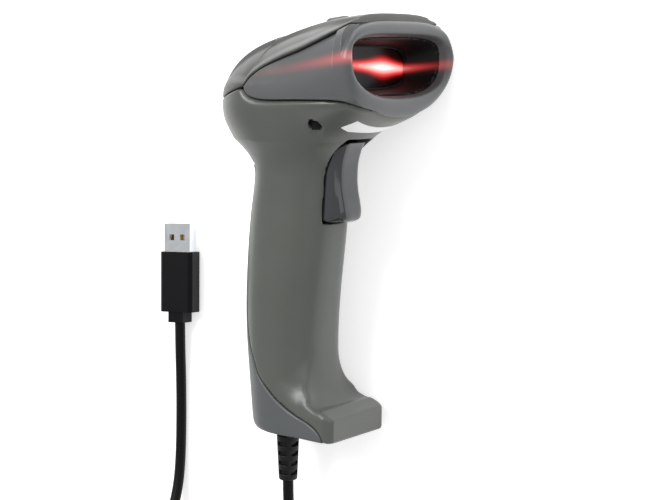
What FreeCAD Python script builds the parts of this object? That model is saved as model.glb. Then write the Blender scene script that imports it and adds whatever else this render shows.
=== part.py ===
import FreeCAD, Part
import math
import os
import Sketcher
from FreeCAD import Placement, Rotation, Vector

# Handheld barcode scanner, lying on its left side, with its cord and USB plug.
# Every piece of the scanner is drawn as if it stood upright: X points forward,
# Y to the left and Z up, from the middle of the handle's flat base.  One common
# placement then lays the scanner on its left side on the surface Z = 0.

doc = FreeCAD.newDocument("barcode_scanner")

# ---------------------------------------------------------------- dimensions
DIMENSIONS = {
    # casing
    "wall": 2.2, "head_back": -24.6, "head_widest": 2.0, "head_front": 50.0,
    "head_half_rear": 26.7, "head_half_front": 34.6, "head_floor": 104.0,
    "head_chin": 117.5, "head_top": 153.3, "head_top_rise": 7.9,
    "widest_line_front": 138.3, "widest_line_slope": 0.26, "rear_rise": 20.1,
    "handle_half": 16.4, "foot_front": 30.4, "foot_width": 37.0,
    "foot_lip": 8.2, "foot_drop": 1.6, "front_wall": 3.6, "seam_reach": 80.0,
    # nose opening and window
    "opening_half": 30.6, "opening_line": 138.0, "opening_above": 7.5,
    "opening_below": 13.8, "window_middle": 134.2, "funnel_back": 34.5,
    "funnel_wall": 1.6, "window_half": 23.4, "window_rise": 7.6,
    "window_thick": 1.5, "gasket_thick": 0.8, "gasket_lap": 1.4,
    # top lens and label
    "lens_length": 9.0, "lens_width": 5.0, "lens_low": 145.0, "lens_high": 152.6,
    "label_long": 32.0, "label_short": 7.0, "label_thick": 0.2,
    # trigger
    "trigger_width": 15.0, "trigger_gap": 0.45, "pivot_forward": 20.5,
    "pivot_up": 103.5, "pin_radius": 1.5, "pin_length": 19.0, "pin_clearance": 0.05,
    "arm_width": 6.0, "spring_radius": 2.2, "spring_wire": 0.5, "spring_length": 7.6,
    "spring_turns": 5.0, "boss_radius": 3.4,
    # switch
    "switch_depth": 4.6, "switch_side": 6.0, "plunger_radius": 1.5,
    "plunger_length": 3.4, "plunger_clearance": 0.05,
    # boards
    "board_thick": 1.6, "decoder_wide": 18.0, "decoder_tall": 69.0,
    "engine_board_long": 24.0, "engine_board_wide": 30.0, "board_hole": 1.1,
    "beeper_radius": 5.5, "beeper_height": 4.5, "chip_side": 10.0, "chip_small": 6.0,
    "chip_thick": 1.2, "led_radius": 1.5, "led_height": 4.0,
    # cable socket, plug in the socket and strain relief
    "jack_wide": 15.4, "jack_deep": 12.0, "jack_tall": 15.0, "modular_wide": 11.7,
    "modular_deep": 7.6, "modular_tall": 19.0, "modular_clearance": 0.15,
    "relief_top": 4.15, "relief_end": 3.3, "relief_length": 21.5, "relief_flange": 5.6,
    "relief_flange_thick": 1.2, "relief_forward": -2.3, "relief_clearance": 0.15,
    # scan engine
    "engine_floor": 124.0, "engine_plate": 1.6, "engine_long": 32.0,
    "engine_wide": 30.0, "engine_tall": 13.0, "mirror_forward": 8.0,
    "shaft_radius": 0.75, "shaft_clearance": 0.05, "carrier_radius": 2.0,
    "carrier_height": 8.5, "mirror_long": 13.0, "mirror_high": 8.0,
    "mirror_thick": 1.0, "magnet_long": 3.0, "magnet_wide": 4.0, "magnet_high": 4.0,
    "bobbin_radius": 3.8, "bobbin_core": 1.5, "bobbin_length": 5.0,
    "bobbin_flange": 0.6, "coil_radius": 3.3, "laser_radius": 2.6,
    "laser_length": 4.4, "collector_long": 12.0, "collector_high": 8.0,
    "collector_thick": 1.4, "diode_side": 4.0, "diode_thick": 1.6,
    "ribbon_wide": 10.0, "ribbon_thick": 0.5, "shroud_wall": 0.8,
    # screws
    "screw_shaft": 1.25, "screw_head": 2.3, "screw_head_thick": 1.5,
    "screw_small": 0.9, "screw_small_head": 1.7, "screw_small_thick": 1.0,
    # cord, its coil and tie
    "cord_diameter": 4.1, "coil_middle": 23.0, "coil_columns": 3.0,
    "coil_layers": 4.0, "tie_thick": 0.9, "tie_wide": 3.2,
    # USB plug
    "usb_wide": 12.0, "usb_high": 4.5, "usb_long": 11.2, "usb_skin": 0.35,
    "usb_hole": 2.3, "housing_wide": 15.0, "housing_high": 8.0,
    "housing_long": 24.0, "housing_edge": 1.4, "collar_wide": 7.0,
    "collar_high": 6.4, "collar_long": 4.2, "tongue_thick": 1.8, "tongue_long": 9.4,
    "contact_wide": 1.2, "contact_long": 7.6, "contact_thick": 0.25,
}

sheet = doc.addObject("Spreadsheet::Sheet", "Dims")
for row, (alias, number) in enumerate(DIMENSIONS.items(), start=1):
    sheet.set("A%d" % row, alias)
    sheet.set("B%d" % row, str(number))
    sheet.setAlias("B%d" % row, alias)
doc.recompute()


def size(alias):
    """A driving dimension, read back from the sheet."""
    return float(sheet.get(alias))


# ---------------------------------------------------------------- helpers
UPRIGHT = []   # pieces of the scanner itself, laid down together at the end
ON_TABLE = []  # cord, coil, tie and USB plug, drawn where they lie
AXIS = {"X": Vector(1, 0, 0), "Y": Vector(0, 1, 0), "Z": Vector(0, 0, 1)}


def bind(thing, **properties):
    for name, alias in properties.items():
        thing.setExpression(name, alias if "." in alias else "Dims." + alias)
    return thing


def turn_to(axis):
    """Rotation that takes +Z to the given axis."""
    return Rotation(AXIS["Z"], Vector(*axis))


def keep(thing, label, group=UPRIGHT):
    """Name a finished sub-part and remember it for writing."""
    thing.Label = label
    group.append(thing)
    return thing


def block(name, length, width, height, middle, rotation=Rotation()):
    """Part::Box whose centre is at middle; its three sizes are sheet aliases."""
    box = bind(doc.addObject("Part::Box", name), Length=length, Width=width, Height=height)
    half = Vector(size(length), size(width), size(height)) * 0.5
    box.Placement = Placement(Vector(*middle) - rotation.multVec(half), rotation)
    return box


def plain_block(name, low, high):
    """Part::Box between two corners, for ribs and for tools that only cut."""
    box = doc.addObject("Part::Box", name)
    box.Length, box.Width, box.Height = (b - a for a, b in zip(low, high))
    box.Placement.Base = Vector(*low)
    return box


def rod(name, radius, height, start, axis=(0, 0, 1)):
    """Part::Cylinder from start along axis; sizes are sheet aliases."""
    cylinder = bind(doc.addObject("Part::Cylinder", name), Radius=radius, Height=height)
    cylinder.Placement = Placement(Vector(*start), turn_to(axis))
    return cylinder


def drill(name, radius, height, start, axis=(0, 0, 1)):
    """Part::Cylinder with plain numbers, for bosses and holes."""
    cylinder = doc.addObject("Part::Cylinder", name)
    cylinder.Radius, cylinder.Height = radius, height
    cylinder.Placement = Placement(Vector(*start), turn_to(axis))
    return cylinder


def cut(name, base, tool):
    result = doc.addObject("Part::Cut", name)
    result.Base, result.Tool = base, tool
    return result


def fuse(name, things):
    result = doc.addObject("Part::MultiFuse", name)
    result.Shapes = things
    return result


def common(name, things):
    result = doc.addObject("Part::MultiCommon", name)
    result.Shapes = things
    return result


def group(name, things):
    result = doc.addObject("Part::Compound", name)
    result.Links = things
    return result


def solid(name, shape):
    feature = doc.addObject("Part::Feature", name)
    feature.Shape = shape
    return feature


def side_prism(name, curve, corners, width="seam_reach"):
    """A side-view outline, pulled out equally to both sides.  curve is the smooth
    stretch, corners the straight ones that close it; both are (forward, up)."""
    sketch = doc.addObject("Sketcher::SketchObject", name + "_outline")
    sketch.Placement = Placement(Vector(), Rotation(AXIS["X"], 90))
    chain = [Vector(x, z, 0) for x, z in corners]
    if curve:
        bend = Part.BSplineCurve()
        bend.interpolate([Vector(x, z, 0) for x, z in curve])
        sketch.addGeometry(bend, False)
        chain = [Vector(*curve[-1], 0)] + chain + [Vector(*curve[0], 0)]
    else:
        chain = chain + chain[:1]
    for start, end in zip(chain, chain[1:]):
        sketch.addGeometry(Part.LineSegment(start, end), False)
    prism = doc.addObject("Part::Extrusion", name)
    prism.Base, prism.Dir, prism.DirMode = sketch, Vector(0, 1, 0), "Custom"
    prism.Solid, prism.Symmetric = True, True
    return bind(prism, LengthFwd=width)


def body(name):
    return doc.addObject("PartDesign::Body", name)


def sketch_on(holder, name, plane, offset=0.0):
    """Empty sketch on one of the body's own origin planes."""
    sketch = holder.newObject("Sketcher::SketchObject", name)
    face = [f for f in holder.Origin.OriginFeatures if f.Role == plane][0]
    sketch.AttachmentSupport = [(face, "")]
    sketch.MapMode = "FlatFace"
    sketch.AttachmentOffset = Placement(Vector(0, 0, offset), Rotation())
    return sketch


def draw_polygon(sketch, points):
    first = sketch.GeometryCount
    count = len(points)
    for i in range(count):
        a, b = points[i], points[(i + 1) % count]
        sketch.addGeometry(Part.LineSegment(Vector(*a, 0), Vector(*b, 0)), False)
    for i in range(count):
        following = first + (i + 1) % count
        sketch.addConstraint(Sketcher.Constraint("Coincident", first + i, 2, following, 1))
    return first


def draw_rectangle(sketch, wide, tall, centre=(0.0, 0.0)):
    """Rectangle about a point, its width and height bound to the sheet."""
    w, t = size(wide) / 2, size(tall) / 2
    cx, cy = centre
    corners = [(cx - w, cy - t), (cx + w, cy - t), (cx + w, cy + t), (cx - w, cy + t)]
    first = draw_polygon(sketch, corners)
    for edge, kind in enumerate(("Horizontal", "Vertical", "Horizontal", "Vertical")):
        sketch.addConstraint(Sketcher.Constraint(kind, first + edge))
    for edge, kind, alias in ((0, "DistanceX", wide), (1, "DistanceY", tall)):
        index = sketch.addConstraint(
            Sketcher.Constraint(kind, first + edge, 1, first + edge, 2, size(alias)))
        sketch.setExpression("Constraints[%d]" % index, "Dims." + alias)
    for kind, at in (("DistanceX", cx - w), ("DistanceY", cy - t)):
        sketch.addConstraint(Sketcher.Constraint(kind, -1, 1, first, 1, at))


def draw_circle(sketch, radius, centre):
    circle = Part.Circle(Vector(*centre, 0), Vector(0, 0, 1), size(radius))
    index = sketch.addGeometry(circle, False)
    constraint = sketch.addConstraint(Sketcher.Constraint("Radius", index, size(radius)))
    sketch.setExpression("Constraints[%d]" % constraint, "Dims." + radius)


def pad(holder, name, sketch, length, both_ways=False, backwards=False):
    feature = holder.newObject("PartDesign::Pad", name)
    feature.Profile = sketch
    if both_ways:
        feature.Midplane = True
    feature.Reversed = backwards
    return bind(feature, Length=length)


def pocket_through(holder, name, sketch):
    feature = holder.newObject("PartDesign::Pocket", name)
    feature.Profile = sketch
    feature.Type = "ThroughAll"
    feature.Midplane = True
    return feature


# ---------------------------------------------------------------- casing shape
RING = 32          # points round each loft section
EXPONENT_LOW = 2.05


def widest_line(x):
    """Height of the head's widest line, which rises towards the nose."""
    return size("widest_line_front") - size("widest_line_slope") * (size("head_front") - x)


def head_section(x, inset=0.0):
    """Half width, rise above and drop below the widest line, at a forward station."""
    back, widest, front = size("head_back"), size("head_widest"), size("head_front")
    line = widest_line(x)
    if x >= widest:
        t = (x - widest) / (front - widest)
        half = size("head_half_rear")
        half += (size("head_half_front") - half) * t ** 1.25
        top = size("head_top") - size("head_top_rise") * (1 - t) ** 2
        floor = size("head_floor") + (size("head_chin") - size("head_floor")) * t ** 1.8
        return half - inset, top - line - inset, line - floor - inset
    s = (widest - x) / (widest - back - inset)
    half = (size("head_half_rear") - inset) * (1 - s ** 2) ** 0.5
    above = (size("rear_rise") - inset) * (1 - s ** 2.5) ** 0.4
    below = (line - size("head_floor") - inset) * (1 - s ** 2.2) ** (1 / 2.2)
    return half, above, below


def ring_wire(place, half, above, below, upper_power, lower_power):
    """Closed smooth wire: a superellipse with different upper and lower halves."""
    points = []
    for i in range(RING):
        angle = 2 * math.pi * i / RING
        across, rise = math.cos(angle), math.sin(angle)
        power = upper_power if rise >= 0 else lower_power
        height = above if rise >= 0 else below
        y = half * math.copysign(abs(across) ** (2 / power), across)
        z = height * math.copysign(abs(rise) ** (2 / power), rise)
        points.append(place(y, z))
    curve = Part.BSplineCurve()
    curve.interpolate(Points=points, PeriodicFlag=True)
    return Part.Wire(curve.toShape())


def head_wire(x, inset=0.0):
    half, above, below = head_section(x, inset)
    line = widest_line(x)
    upper = 2.3 + 0.9 * min(1.0, max(0.0, x / size("head_front")))
    return ring_wire(lambda y, z: Vector(x, y, line + z), half, above, below,
                     upper, EXPONENT_LOW)


def head_loft(inset, front):
    """Head from its rounded back to the given front station."""
    back = size("head_back") + inset
    reach = size("head_widest") - back
    stations = [back + reach * share for share in (0.006, 0.03, 0.08, 0.17, 0.32, 0.55, 1.0)]
    steps = 5
    length = front - size("head_widest")
    stations += [size("head_widest") + length * i / steps for i in range(1, steps + 1)]
    return Part.makeLoft([head_wire(x, inset) for x in stations], True, False)


# forward edge of the handle's back, forward edge of its front, by height
HANDLE_STATIONS = [
    (0.0, -12.6, 18.4), (3.0, -14.4, 18.9), (12.0, -15.4, 18.0), (26.0, -16.0, 16.6),
    (42.0, -16.7, 17.1), (58.0, -16.6, 18.9), (72.0, -15.6, 20.8), (86.0, -14.1, 22.0),
    (96.0, -12.6, 23.0), (103.0, -13.8, 24.5), (108.0, -17.0, 27.0),
]


def handle_half(z):
    """Half width of the handle, which narrows upwards and flares into the head."""
    flare = 0.05 * max(0.0, z - 97.0) ** 2
    return size("handle_half") + 0.6 - 1.7 * min(1.0, z / 90.0) + flare


def handle_wire(z, back, front, inset):
    middle, reach = (back + front) / 2, (front - back) / 2 - inset
    half = handle_half(z) - inset
    return ring_wire(lambda y, x: Vector(middle + x, y, z), half, reach, reach, 2.3, 2.3)


def handle_loft(inset):
    wires = []
    for z, back, front in HANDLE_STATIONS:
        level = max(z, inset)
        wires.append(handle_wire(level, back, front, inset))
    return Part.makeLoft(wires, True, False)


def foot_block(inset):
    """Forward toe under the handle: a lip with a hollow curve up to the handle,
    narrower where it runs back into the handle and as it rises."""
    front, lip, half = size("foot_front") - inset, size("foot_lip"), size("foot_width") / 2 - inset
    a, b = Vector(-2, 0, inset), Vector(front - 0.4, 0, inset - size("foot_drop"))
    c, d = Vector(front, 0, lip - inset * 0.8), Vector(25.0 - inset, 0, 10.9 - inset)
    e, f = Vector(16.4 - inset, 0, 15.6 - inset), Vector(12.6 - inset, 0, 31.0)
    g = Vector(-2, 0, 31)
    edges = [Part.makeLine(a, b), Part.makeLine(b, c), Part.makeLine(c, d),
             Part.Arc(d, e, f).toShape(), Part.makeLine(f, g), Part.makeLine(g, a)]
    side = Part.Face(Part.Wire(edges))
    side.translate(Vector(0, -30, 0))
    neck = half - 6.5
    plan = [(-2.5, neck), (13.0, half - 1.8), (front - 3.4, half), (front + 0.2, half - 2.8)]
    plan += [(x, -y) for x, y in plan[::-1]]
    outline = Part.makePolygon([Vector(x, y, -5.0) for x, y in plan + plan[:1]])
    dome = [(half, -5.0), (half, 8.6), (half - 1.4, 12.0), (half - 4.4, 16.6),
            (half - 8.4, 21.6), (half - 12.6, 27.0), (half - 16.0, 32.0)]
    dome += [(-y, z) for y, z in dome[::-1]]
    front_view = Part.makePolygon([Vector(-10, y, z) for y, z in dome + dome[:1]])
    block = side.extrude(Vector(0, 60, 0)).common(Part.Face(outline).extrude(Vector(0, 0, 45)))
    return block.common(Part.Face(front_view).extrude(Vector(50, 0, 0)))


outer_head = head_loft(0.0, size("head_front"))
nose_edge = [edge for edge in outer_head.Edges
             if edge.BoundBox.XMin > size("head_front") - 0.5]
outer_head = outer_head.makeFillet(1.8, nose_edge)
wall = size("wall")
inner_front = size("head_front") - size("front_wall")
handle_solid, handle_hollow = handle_loft(0.0), handle_loft(wall)
head_shell = outer_head.cut(head_loft(wall, inner_front))
handle_shell = handle_solid.cut(handle_hollow)
toe_shell = foot_block(0.0).cut(handle_solid).cut(foot_block(wall))

# seams, all in the side view, as (forward, up)
UPPER_SEAM = [(-2.1, 127.5), (1.2, 131.2), (7.0, 134.6), (16.0, 138.0), (23.4, 140.2),
              (32.0, 143.2), (40.0, 146.4), (46.4, 149.6)]
LOWER_SEAM = [(-2.1, 127.5), (-0.6, 125.0), (2.6, 123.6), (8.6, 123.0), (24.0, 123.3),
              (39.0, 123.2), (45.0, 121.6), (47.6, 119.8)]
REAR_SEAM = [(-2.1, 127.5), (-9.0, 125.6), (-16.0, 123.6), (-30.0, 120.4)]
BACK_SEAM = [(-8.6, 99.0), (-10.6, 84.0), (-12.2, 64.0), (-12.0, 48.0), (-9.8, 34.0),
             (-6.8, 27.0), (-3.5, 20.8), (3.0, 14.5), (8.5, 10.7), (14.0, 8.0),
             (20.0, 5.9), (25.0, 2.6), (27.5, -3.0)]
top_zone = side_prism("top_zone", None, UPPER_SEAM + [(46.4, 170.0), (-30.0, 170.0)]
                      + REAR_SEAM[:0:-1])
bezel_zone = side_prism("bezel_zone", None, UPPER_SEAM + [(46.4, 170.0), (60.0, 170.0),
                        (60.0, 95.0), (47.6, 95.0)] + LOWER_SEAM[:0:-1])
rear_zone = side_prism("rear_zone", None, BACK_SEAM + [(27.5, -10.0), (-30.0, -10.0),
                       (-30.0, 99.0)])

doc.recompute()
above, nose_band, behind = top_zone.Shape, bezel_zone.Shape, rear_zone.Shape


def peg(radius, height, start, axis=(0, 0, 1)):
    return Part.makeCylinder(radius, height, Vector(*start), Vector(*axis))


def bar(low, high):
    length, width, height = (b - a for a, b in zip(low, high))
    return Part.makeBox(length, width, height, Vector(*low))


def shaped(name, shape):
    """Casing piece: a lofted shell cut to its seams."""
    return keep(solid(name, shape), name)


# ribs and bosses moulded inside the main body, trimmed to the casing's outline
pivot = (size("pivot_forward"), size("pivot_up"))
trigger_half = size("trigger_width") / 2
# heights of the two handle screws, where their heads bear and their shanks' length
HANDLE_SCREWS = [(46.0, -15.2, 6.6), (86.0, -12.6, 5.0)]
ENGINE_POSTS = [(-4.0, 17.0), (16.0, 17.0), (-4.0, -17.0), (16.0, -17.0)]
HEAD_SCREWS = [(25.4, 20.0), (25.4, -20.0)]
post_top = size("engine_floor")
screw_shaft, screw_small = size("screw_shaft"), size("screw_small")
ribs = [bar((-12.6, -20, z - 3), (-8.4, 20, z + 3)) for z, _, _ in HANDLE_SCREWS]
ribs.append(bar((7.6, -20, 80.6), (9.0, 20, 87.4)))
for side in (1, -1):
    start = (pivot[0], side * (trigger_half + 0.5), pivot[1])
    ribs.append(peg(size("boss_radius"), 12.0, start, (0, side, 0)))
posts = [peg(2.8, post_top - 100.0, (x, y, 100.0)) for x, y in ENGINE_POSTS]
posts += [peg(4.4, 21.0, (x, y, 100.0)) for x, y in HEAD_SCREWS]

head_low = head_shell.cut(above).cut(nose_band).cut(handle_hollow)
handle_front = handle_shell.cut(behind).cut(outer_head)
main_shape = head_low.fuse(handle_front).fuse(toe_shell.cut(behind))
for rib in ribs:
    main_shape = main_shape.fuse(rib.common(handle_solid).cut(behind))
for post in posts:
    main_shape = main_shape.fuse(post.common(outer_head).cut(handle_hollow))
gap = size("trigger_gap")
slot_half = trigger_half + gap
main_holes = [bar((14.0, -slot_half, 77.4), (36.0, slot_half, 110.8))]
main_holes.append(peg(size("pin_radius"), size("pin_length"),
                      (pivot[0], -size("pin_length") / 2, pivot[1]), (0, 1, 0)))
main_holes += [peg(screw_small, 6.0, (x, y, post_top - 6)) for x, y in ENGINE_POSTS]
main_holes += [peg(2.7, 18.0, (x, y, 100.0)) for x, y in HEAD_SCREWS]
main_holes += [peg(screw_shaft, 14.0, (x, y, 112.0)) for x, y in HEAD_SCREWS]
main_holes += [peg(screw_shaft, shank, (seat, 0, z), (1, 0, 0))
               for z, seat, shank in HANDLE_SCREWS]
for hole in main_holes:
    main_shape = main_shape.cut(hole)
main_body = shaped("main_body", main_shape)

# top cover with a slot for the status lens
LENS_AT = (21.0, 0.0)
lens_slot = bar((LENS_AT[0] - 4.6, -2.6, 140.0), (LENS_AT[0] + 4.6, 2.6, 160.0))
top_cover = shaped("top_cover", head_shell.common(above).cut(lens_slot))

# rear cover, from the base up the back of the handle; the base slopes up at its heel
HEEL_CUT = [(-20.0, 1.7), (-7.0, 0.0), (-7.0, -2.0), (-20.0, -2.0)]
rear_shape = handle_shell.common(behind).fuse(toe_shell.common(behind))
heel = Part.Face(Part.makePolygon([Vector(x, -30, z) for x, z in HEEL_CUT + HEEL_CUT[:1]]))
rear_shape = rear_shape.cut(heel.extrude(Vector(0, 60, 0)))
relief_radius = size("relief_top") + size("relief_clearance")
rear_shape = rear_shape.cut(peg(relief_radius, 8.0, (size("relief_forward"), 0, -2)))
for z, seat, shank in HANDLE_SCREWS:
    rear_shape = rear_shape.cut(peg(screw_shaft, shank, (seat, 0, z), (1, 0, 0)))
    rear_shape = rear_shape.cut(peg(2.5, 4.0, (seat - 4.0, 0, z), (1, 0, 0)))
rear_cover = shaped("rear_cover", rear_shape)


# ---------------------------------------------------------------- nose
def opening_wire(x, share, grow=0.0):
    """Outline of the nose funnel: 0 is the window end, 1 is the mouth."""
    half = size("window_half") + (size("opening_half") - size("window_half")) * share
    line = size("window_middle") + (size("opening_line") - size("window_middle")) * share
    rise = size("window_rise")
    above = rise + (size("opening_above") - rise) * share + grow
    below = rise + (size("opening_below") - rise) * share + grow
    return ring_wire(lambda y, z: Vector(x, y, line + z), half + grow, above, below,
                     3.6, 3.4 - 1.2 * share)


def window_prism(x_low, thick, grow):
    face = Part.Face(opening_wire(x_low, 0.0, grow))
    return face.extrude(Vector(thick, 0, 0))


front, funnel_back = size("head_front"), size("funnel_back")
funnel_hole = Part.makeLoft([opening_wire(funnel_back - 0.01, 0.0),
                             opening_wire(front + 1.5, 1.0)], True, True)
funnel_skin = Part.makeLoft([opening_wire(funnel_back, 0.0, size("funnel_wall")),
                             opening_wire(front - 2.0, 0.9, size("funnel_wall"))], True, True)
bezel_shape = head_shell.cut(above).common(nose_band).fuse(funnel_skin)
for x, y in HEAD_SCREWS:
    low, high = sorted((y, math.copysign(40, y)))
    lug = peg(3.0, 6.0, (x, y, 121.0)).fuse(bar((x - 1, low, 123.5), (x + 1, high, 127.0)))
    bezel_shape = bezel_shape.fuse(lug.common(outer_head))
bezel_shape = bezel_shape.cut(funnel_hole)
for x, y in HEAD_SCREWS:
    bezel_shape = bezel_shape.cut(peg(screw_shaft, 5.0, (x, y, 120.9)))
nose_bezel = shaped("nose_bezel", bezel_shape)

lap, gasket_thick = size("gasket_lap"), size("gasket_thick")
window_thick = size("window_thick")
gasket_front = funnel_back
gasket_ring = window_prism(gasket_front - gasket_thick, gasket_thick, lap).cut(
    window_prism(gasket_front - gasket_thick - 1, gasket_thick + 2, -0.4))
window_gasket = keep(solid("window_gasket", gasket_ring), "window_gasket")
window_back = gasket_front - gasket_thick - window_thick
scan_window = keep(solid("scan_window", window_prism(window_back, window_thick, lap)),
                   "scan_window")

# black shroud between the window and the scan engine
engine_front = size("mirror_forward") + size("engine_long") / 2
shroud_wall = size("shroud_wall")


def shroud_loft(shrink, overrun):
    narrow = Part.makePolygon([Vector(engine_front - overrun, y, z) for y, z in (
        (-14 + shrink, 126.5 + shrink), (14 - shrink, 126.5 + shrink),
        (14 - shrink, 136.4 - shrink), (-14 + shrink, 136.4 - shrink),
        (-14 + shrink, 126.5 + shrink))])
    broad = Part.makePolygon([Vector(window_back + overrun, y, z) for y, z in (
        (-23 + shrink, 127.4 + shrink), (23 - shrink, 127.4 + shrink),
        (23 - shrink, 141.0 - shrink), (-23 + shrink, 141.0 - shrink),
        (-23 + shrink, 127.4 + shrink))])
    return Part.makeLoft([narrow, broad], True, True)


shroud_shape = shroud_loft(0.0, 0.0).cut(shroud_loft(shroud_wall, 0.02))
light_shroud = keep(solid("light_shroud", shroud_shape), "light_shroud")

# status lens standing a little proud of the top cover
lens_body = body("status_lens_body")
lens_sketch = sketch_on(lens_body, "lens_outline", "XY_Plane")
draw_rectangle(lens_sketch, "lens_length", "lens_width")
lens_pad = pad(lens_body, "lens_pad", lens_sketch, "lens_high")
lens_pad.setExpression("Length", "Dims.lens_high - Dims.lens_low")
doc.recompute()
lens_round = lens_body.newObject("PartDesign::Fillet", "lens_round")
lens_round.Base = (lens_pad, ["Edge%d" % (i + 1) for i, e in enumerate(lens_pad.Shape.Edges)
                              if e.BoundBox.ZLength > 3])
lens_round.Radius = 2.0
lens_body.Placement.Base = Vector(LENS_AT[0], LENS_AT[1], size("lens_low"))
keep(lens_body, "status_lens")

# white label wrapped on the head's sloping underside, ahead of the trigger
label_half = size("label_long") / 2
label_zone = bar((33.8, -label_half, 105.0), (33.8 + size("label_short"), label_half, 125.0))
label_shape = head_loft(-size("label_thick"), front).common(label_zone).cut(outer_head)
laser_label = shaped("laser_label", label_shape)

# ---------------------------------------------------------------- trigger
TRIGGER_FRONT = [(31.2, 108.0), (29.4, 105.6), (28.2, 102.6), (27.3, 99.0), (27.0, 94.0),
                 (27.3, 90.0), (28.1, 86.0), (28.6, 82.4), (28.2, 79.6), (26.8, 78.5)]
TRIGGER_BACK = [(22.0, 78.5), (17.6, 79.2), (17.0, 86.0), (17.0, 93.2), (17.0, 103.0),
                (18.4, 106.2), (20.8, 107.2), (25.5, 108.2)]
trigger_body = body("trigger_body")
trigger_sketch = sketch_on(trigger_body, "trigger_side", "XZ_Plane")
draw_polygon(trigger_sketch, TRIGGER_FRONT + TRIGGER_BACK)
trigger_pad = pad(trigger_body, "trigger_pad", trigger_sketch, "trigger_width", True)
doc.recompute()
front_edges = ["Edge%d" % (i + 1) for i, e in enumerate(trigger_pad.Shape.Edges)
               if e.BoundBox.YLength < 0.01 and e.BoundBox.XMin > 26.7
               and e.BoundBox.ZLength > 1.5]
trigger_round = trigger_body.newObject("PartDesign::Fillet", "trigger_round")
trigger_round.Base = (trigger_pad, front_edges)
trigger_round.Radius = 2.6
arm_sketch = sketch_on(trigger_body, "arm_side", "XZ_Plane")
ARM = [(18.0, 92.4), (18.0, 98.6), (4.0, 96.8), (1.8, 96.8), (1.8, 93.2), (4.0, 93.2)]
draw_polygon(arm_sketch, ARM)
arm_pad = pad(trigger_body, "arm_pad", arm_sketch, "arm_width", True)
bore_sketch = sketch_on(trigger_body, "hub_bore", "XZ_Plane")
bore_circle = Part.Circle(Vector(*pivot, 0), Vector(0, 0, 1),
                          size("pin_radius") + size("pin_clearance"))
bore_sketch.addGeometry(bore_circle, False)
bore_radius = bore_sketch.addConstraint(Sketcher.Constraint(
    "Radius", 0, size("pin_radius") + size("pin_clearance")))
bore_sketch.setExpression("Constraints[%d]" % bore_radius,
                          "Dims.pin_radius + Dims.pin_clearance")
pocket_through(trigger_body, "hub_pocket", bore_sketch)
keep(trigger_body, "trigger")

trigger_pin = keep(rod("trigger_pin", "pin_radius", "pin_length",
                       (pivot[0], -size("pin_length") / 2, pivot[1]), (0, 1, 0)), "trigger_pin")

# compression spring between the spring seat and the trigger's back
spring_length, spring_wire = size("spring_length"), size("spring_wire")
helix = Part.makeHelix((spring_length - spring_wire) / size("spring_turns"),
                       spring_length - spring_wire, size("spring_radius"))
spring_section = Part.Wire(Part.Circle(Vector(size("spring_radius"), 0, 0),
                                       Vector(0, 1, 0), spring_wire / 2).toShape())
spring_shape = Part.Wire(helix).makePipeShell([spring_section], True, True)
trigger_spring = solid("trigger_spring", spring_shape)
trigger_spring.Placement = Placement(Vector(9.1 + spring_wire / 2, 0, 84.0), turn_to((1, 0, 0)))
keep(trigger_spring, "trigger_spring")

# ---------------------------------------------------------------- decoder board
board_face = -5.2   # forward face of the decoder board
board_thick = size("board_thick")
decoder_low = 30.0
decoder_body = body("decoder_board_body")
decoder_sketch = sketch_on(decoder_body, "decoder_outline", "YZ_Plane", board_face)
draw_rectangle(decoder_sketch, "decoder_wide", "decoder_tall",
               (0.0, decoder_low + size("decoder_tall") / 2))
BOARD_SCREWS = [(0.0, 36.0), (0.0, 78.0)]
for spot in BOARD_SCREWS:
    draw_circle(decoder_sketch, "board_hole", spot)
pad(decoder_body, "decoder_pad", decoder_sketch, "board_thick", False, True)
keep(decoder_body, "decoder_board")

rear_face = board_face - board_thick
half_chip = size("chip_thick") / 2
chips = [
    block("processor", "chip_thick", "chip_side", "chip_side", (board_face + half_chip, 0, 56.0)),
    block("memory", "chip_thick", "chip_small", "chip_small", (board_face + half_chip, 5.0, 43.0)),
    block("driver", "chip_thick", "chip_small", "chip_small", (board_face + half_chip, -5.0, 43.0)),
    block("regulator", "chip_thick", "chip_small", "chip_small", (rear_face - half_chip, 0, 62.0)),
]
board_chips = keep(group("board_chips", chips), "board_chips")
beeper_core = rod("beeper_can", "beeper_radius", "beeper_height", (board_face, 2.5, 69.0), (1, 0, 0))
beeper_hole = drill("beeper_port", 0.9, 2.0, (board_face + size("beeper_height") - 1, 2.5, 69.0),
                    (1, 0, 0))
beeper = keep(cut("beeper", beeper_core, beeper_hole), "beeper")

SWITCH_UP = 95.0
switch_case = block("switch_case", "switch_depth", "switch_side", "switch_side",
                    (board_face + size("switch_depth") / 2, 0, SWITCH_UP))
switch_front = board_face + size("switch_depth")
switch_bore = drill("switch_bore", size("plunger_radius") + size("plunger_clearance"), 3.0,
                    (switch_front - 2.6, 0, SWITCH_UP), (1, 0, 0))
switch_housing = keep(cut("switch_housing", switch_case, switch_bore), "switch_housing")
switch_plunger = keep(rod("switch_plunger", "plunger_radius", "plunger_length",
                          (switch_front - 1.2, 0, SWITCH_UP), (1, 0, 0)), "switch_plunger")

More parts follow.
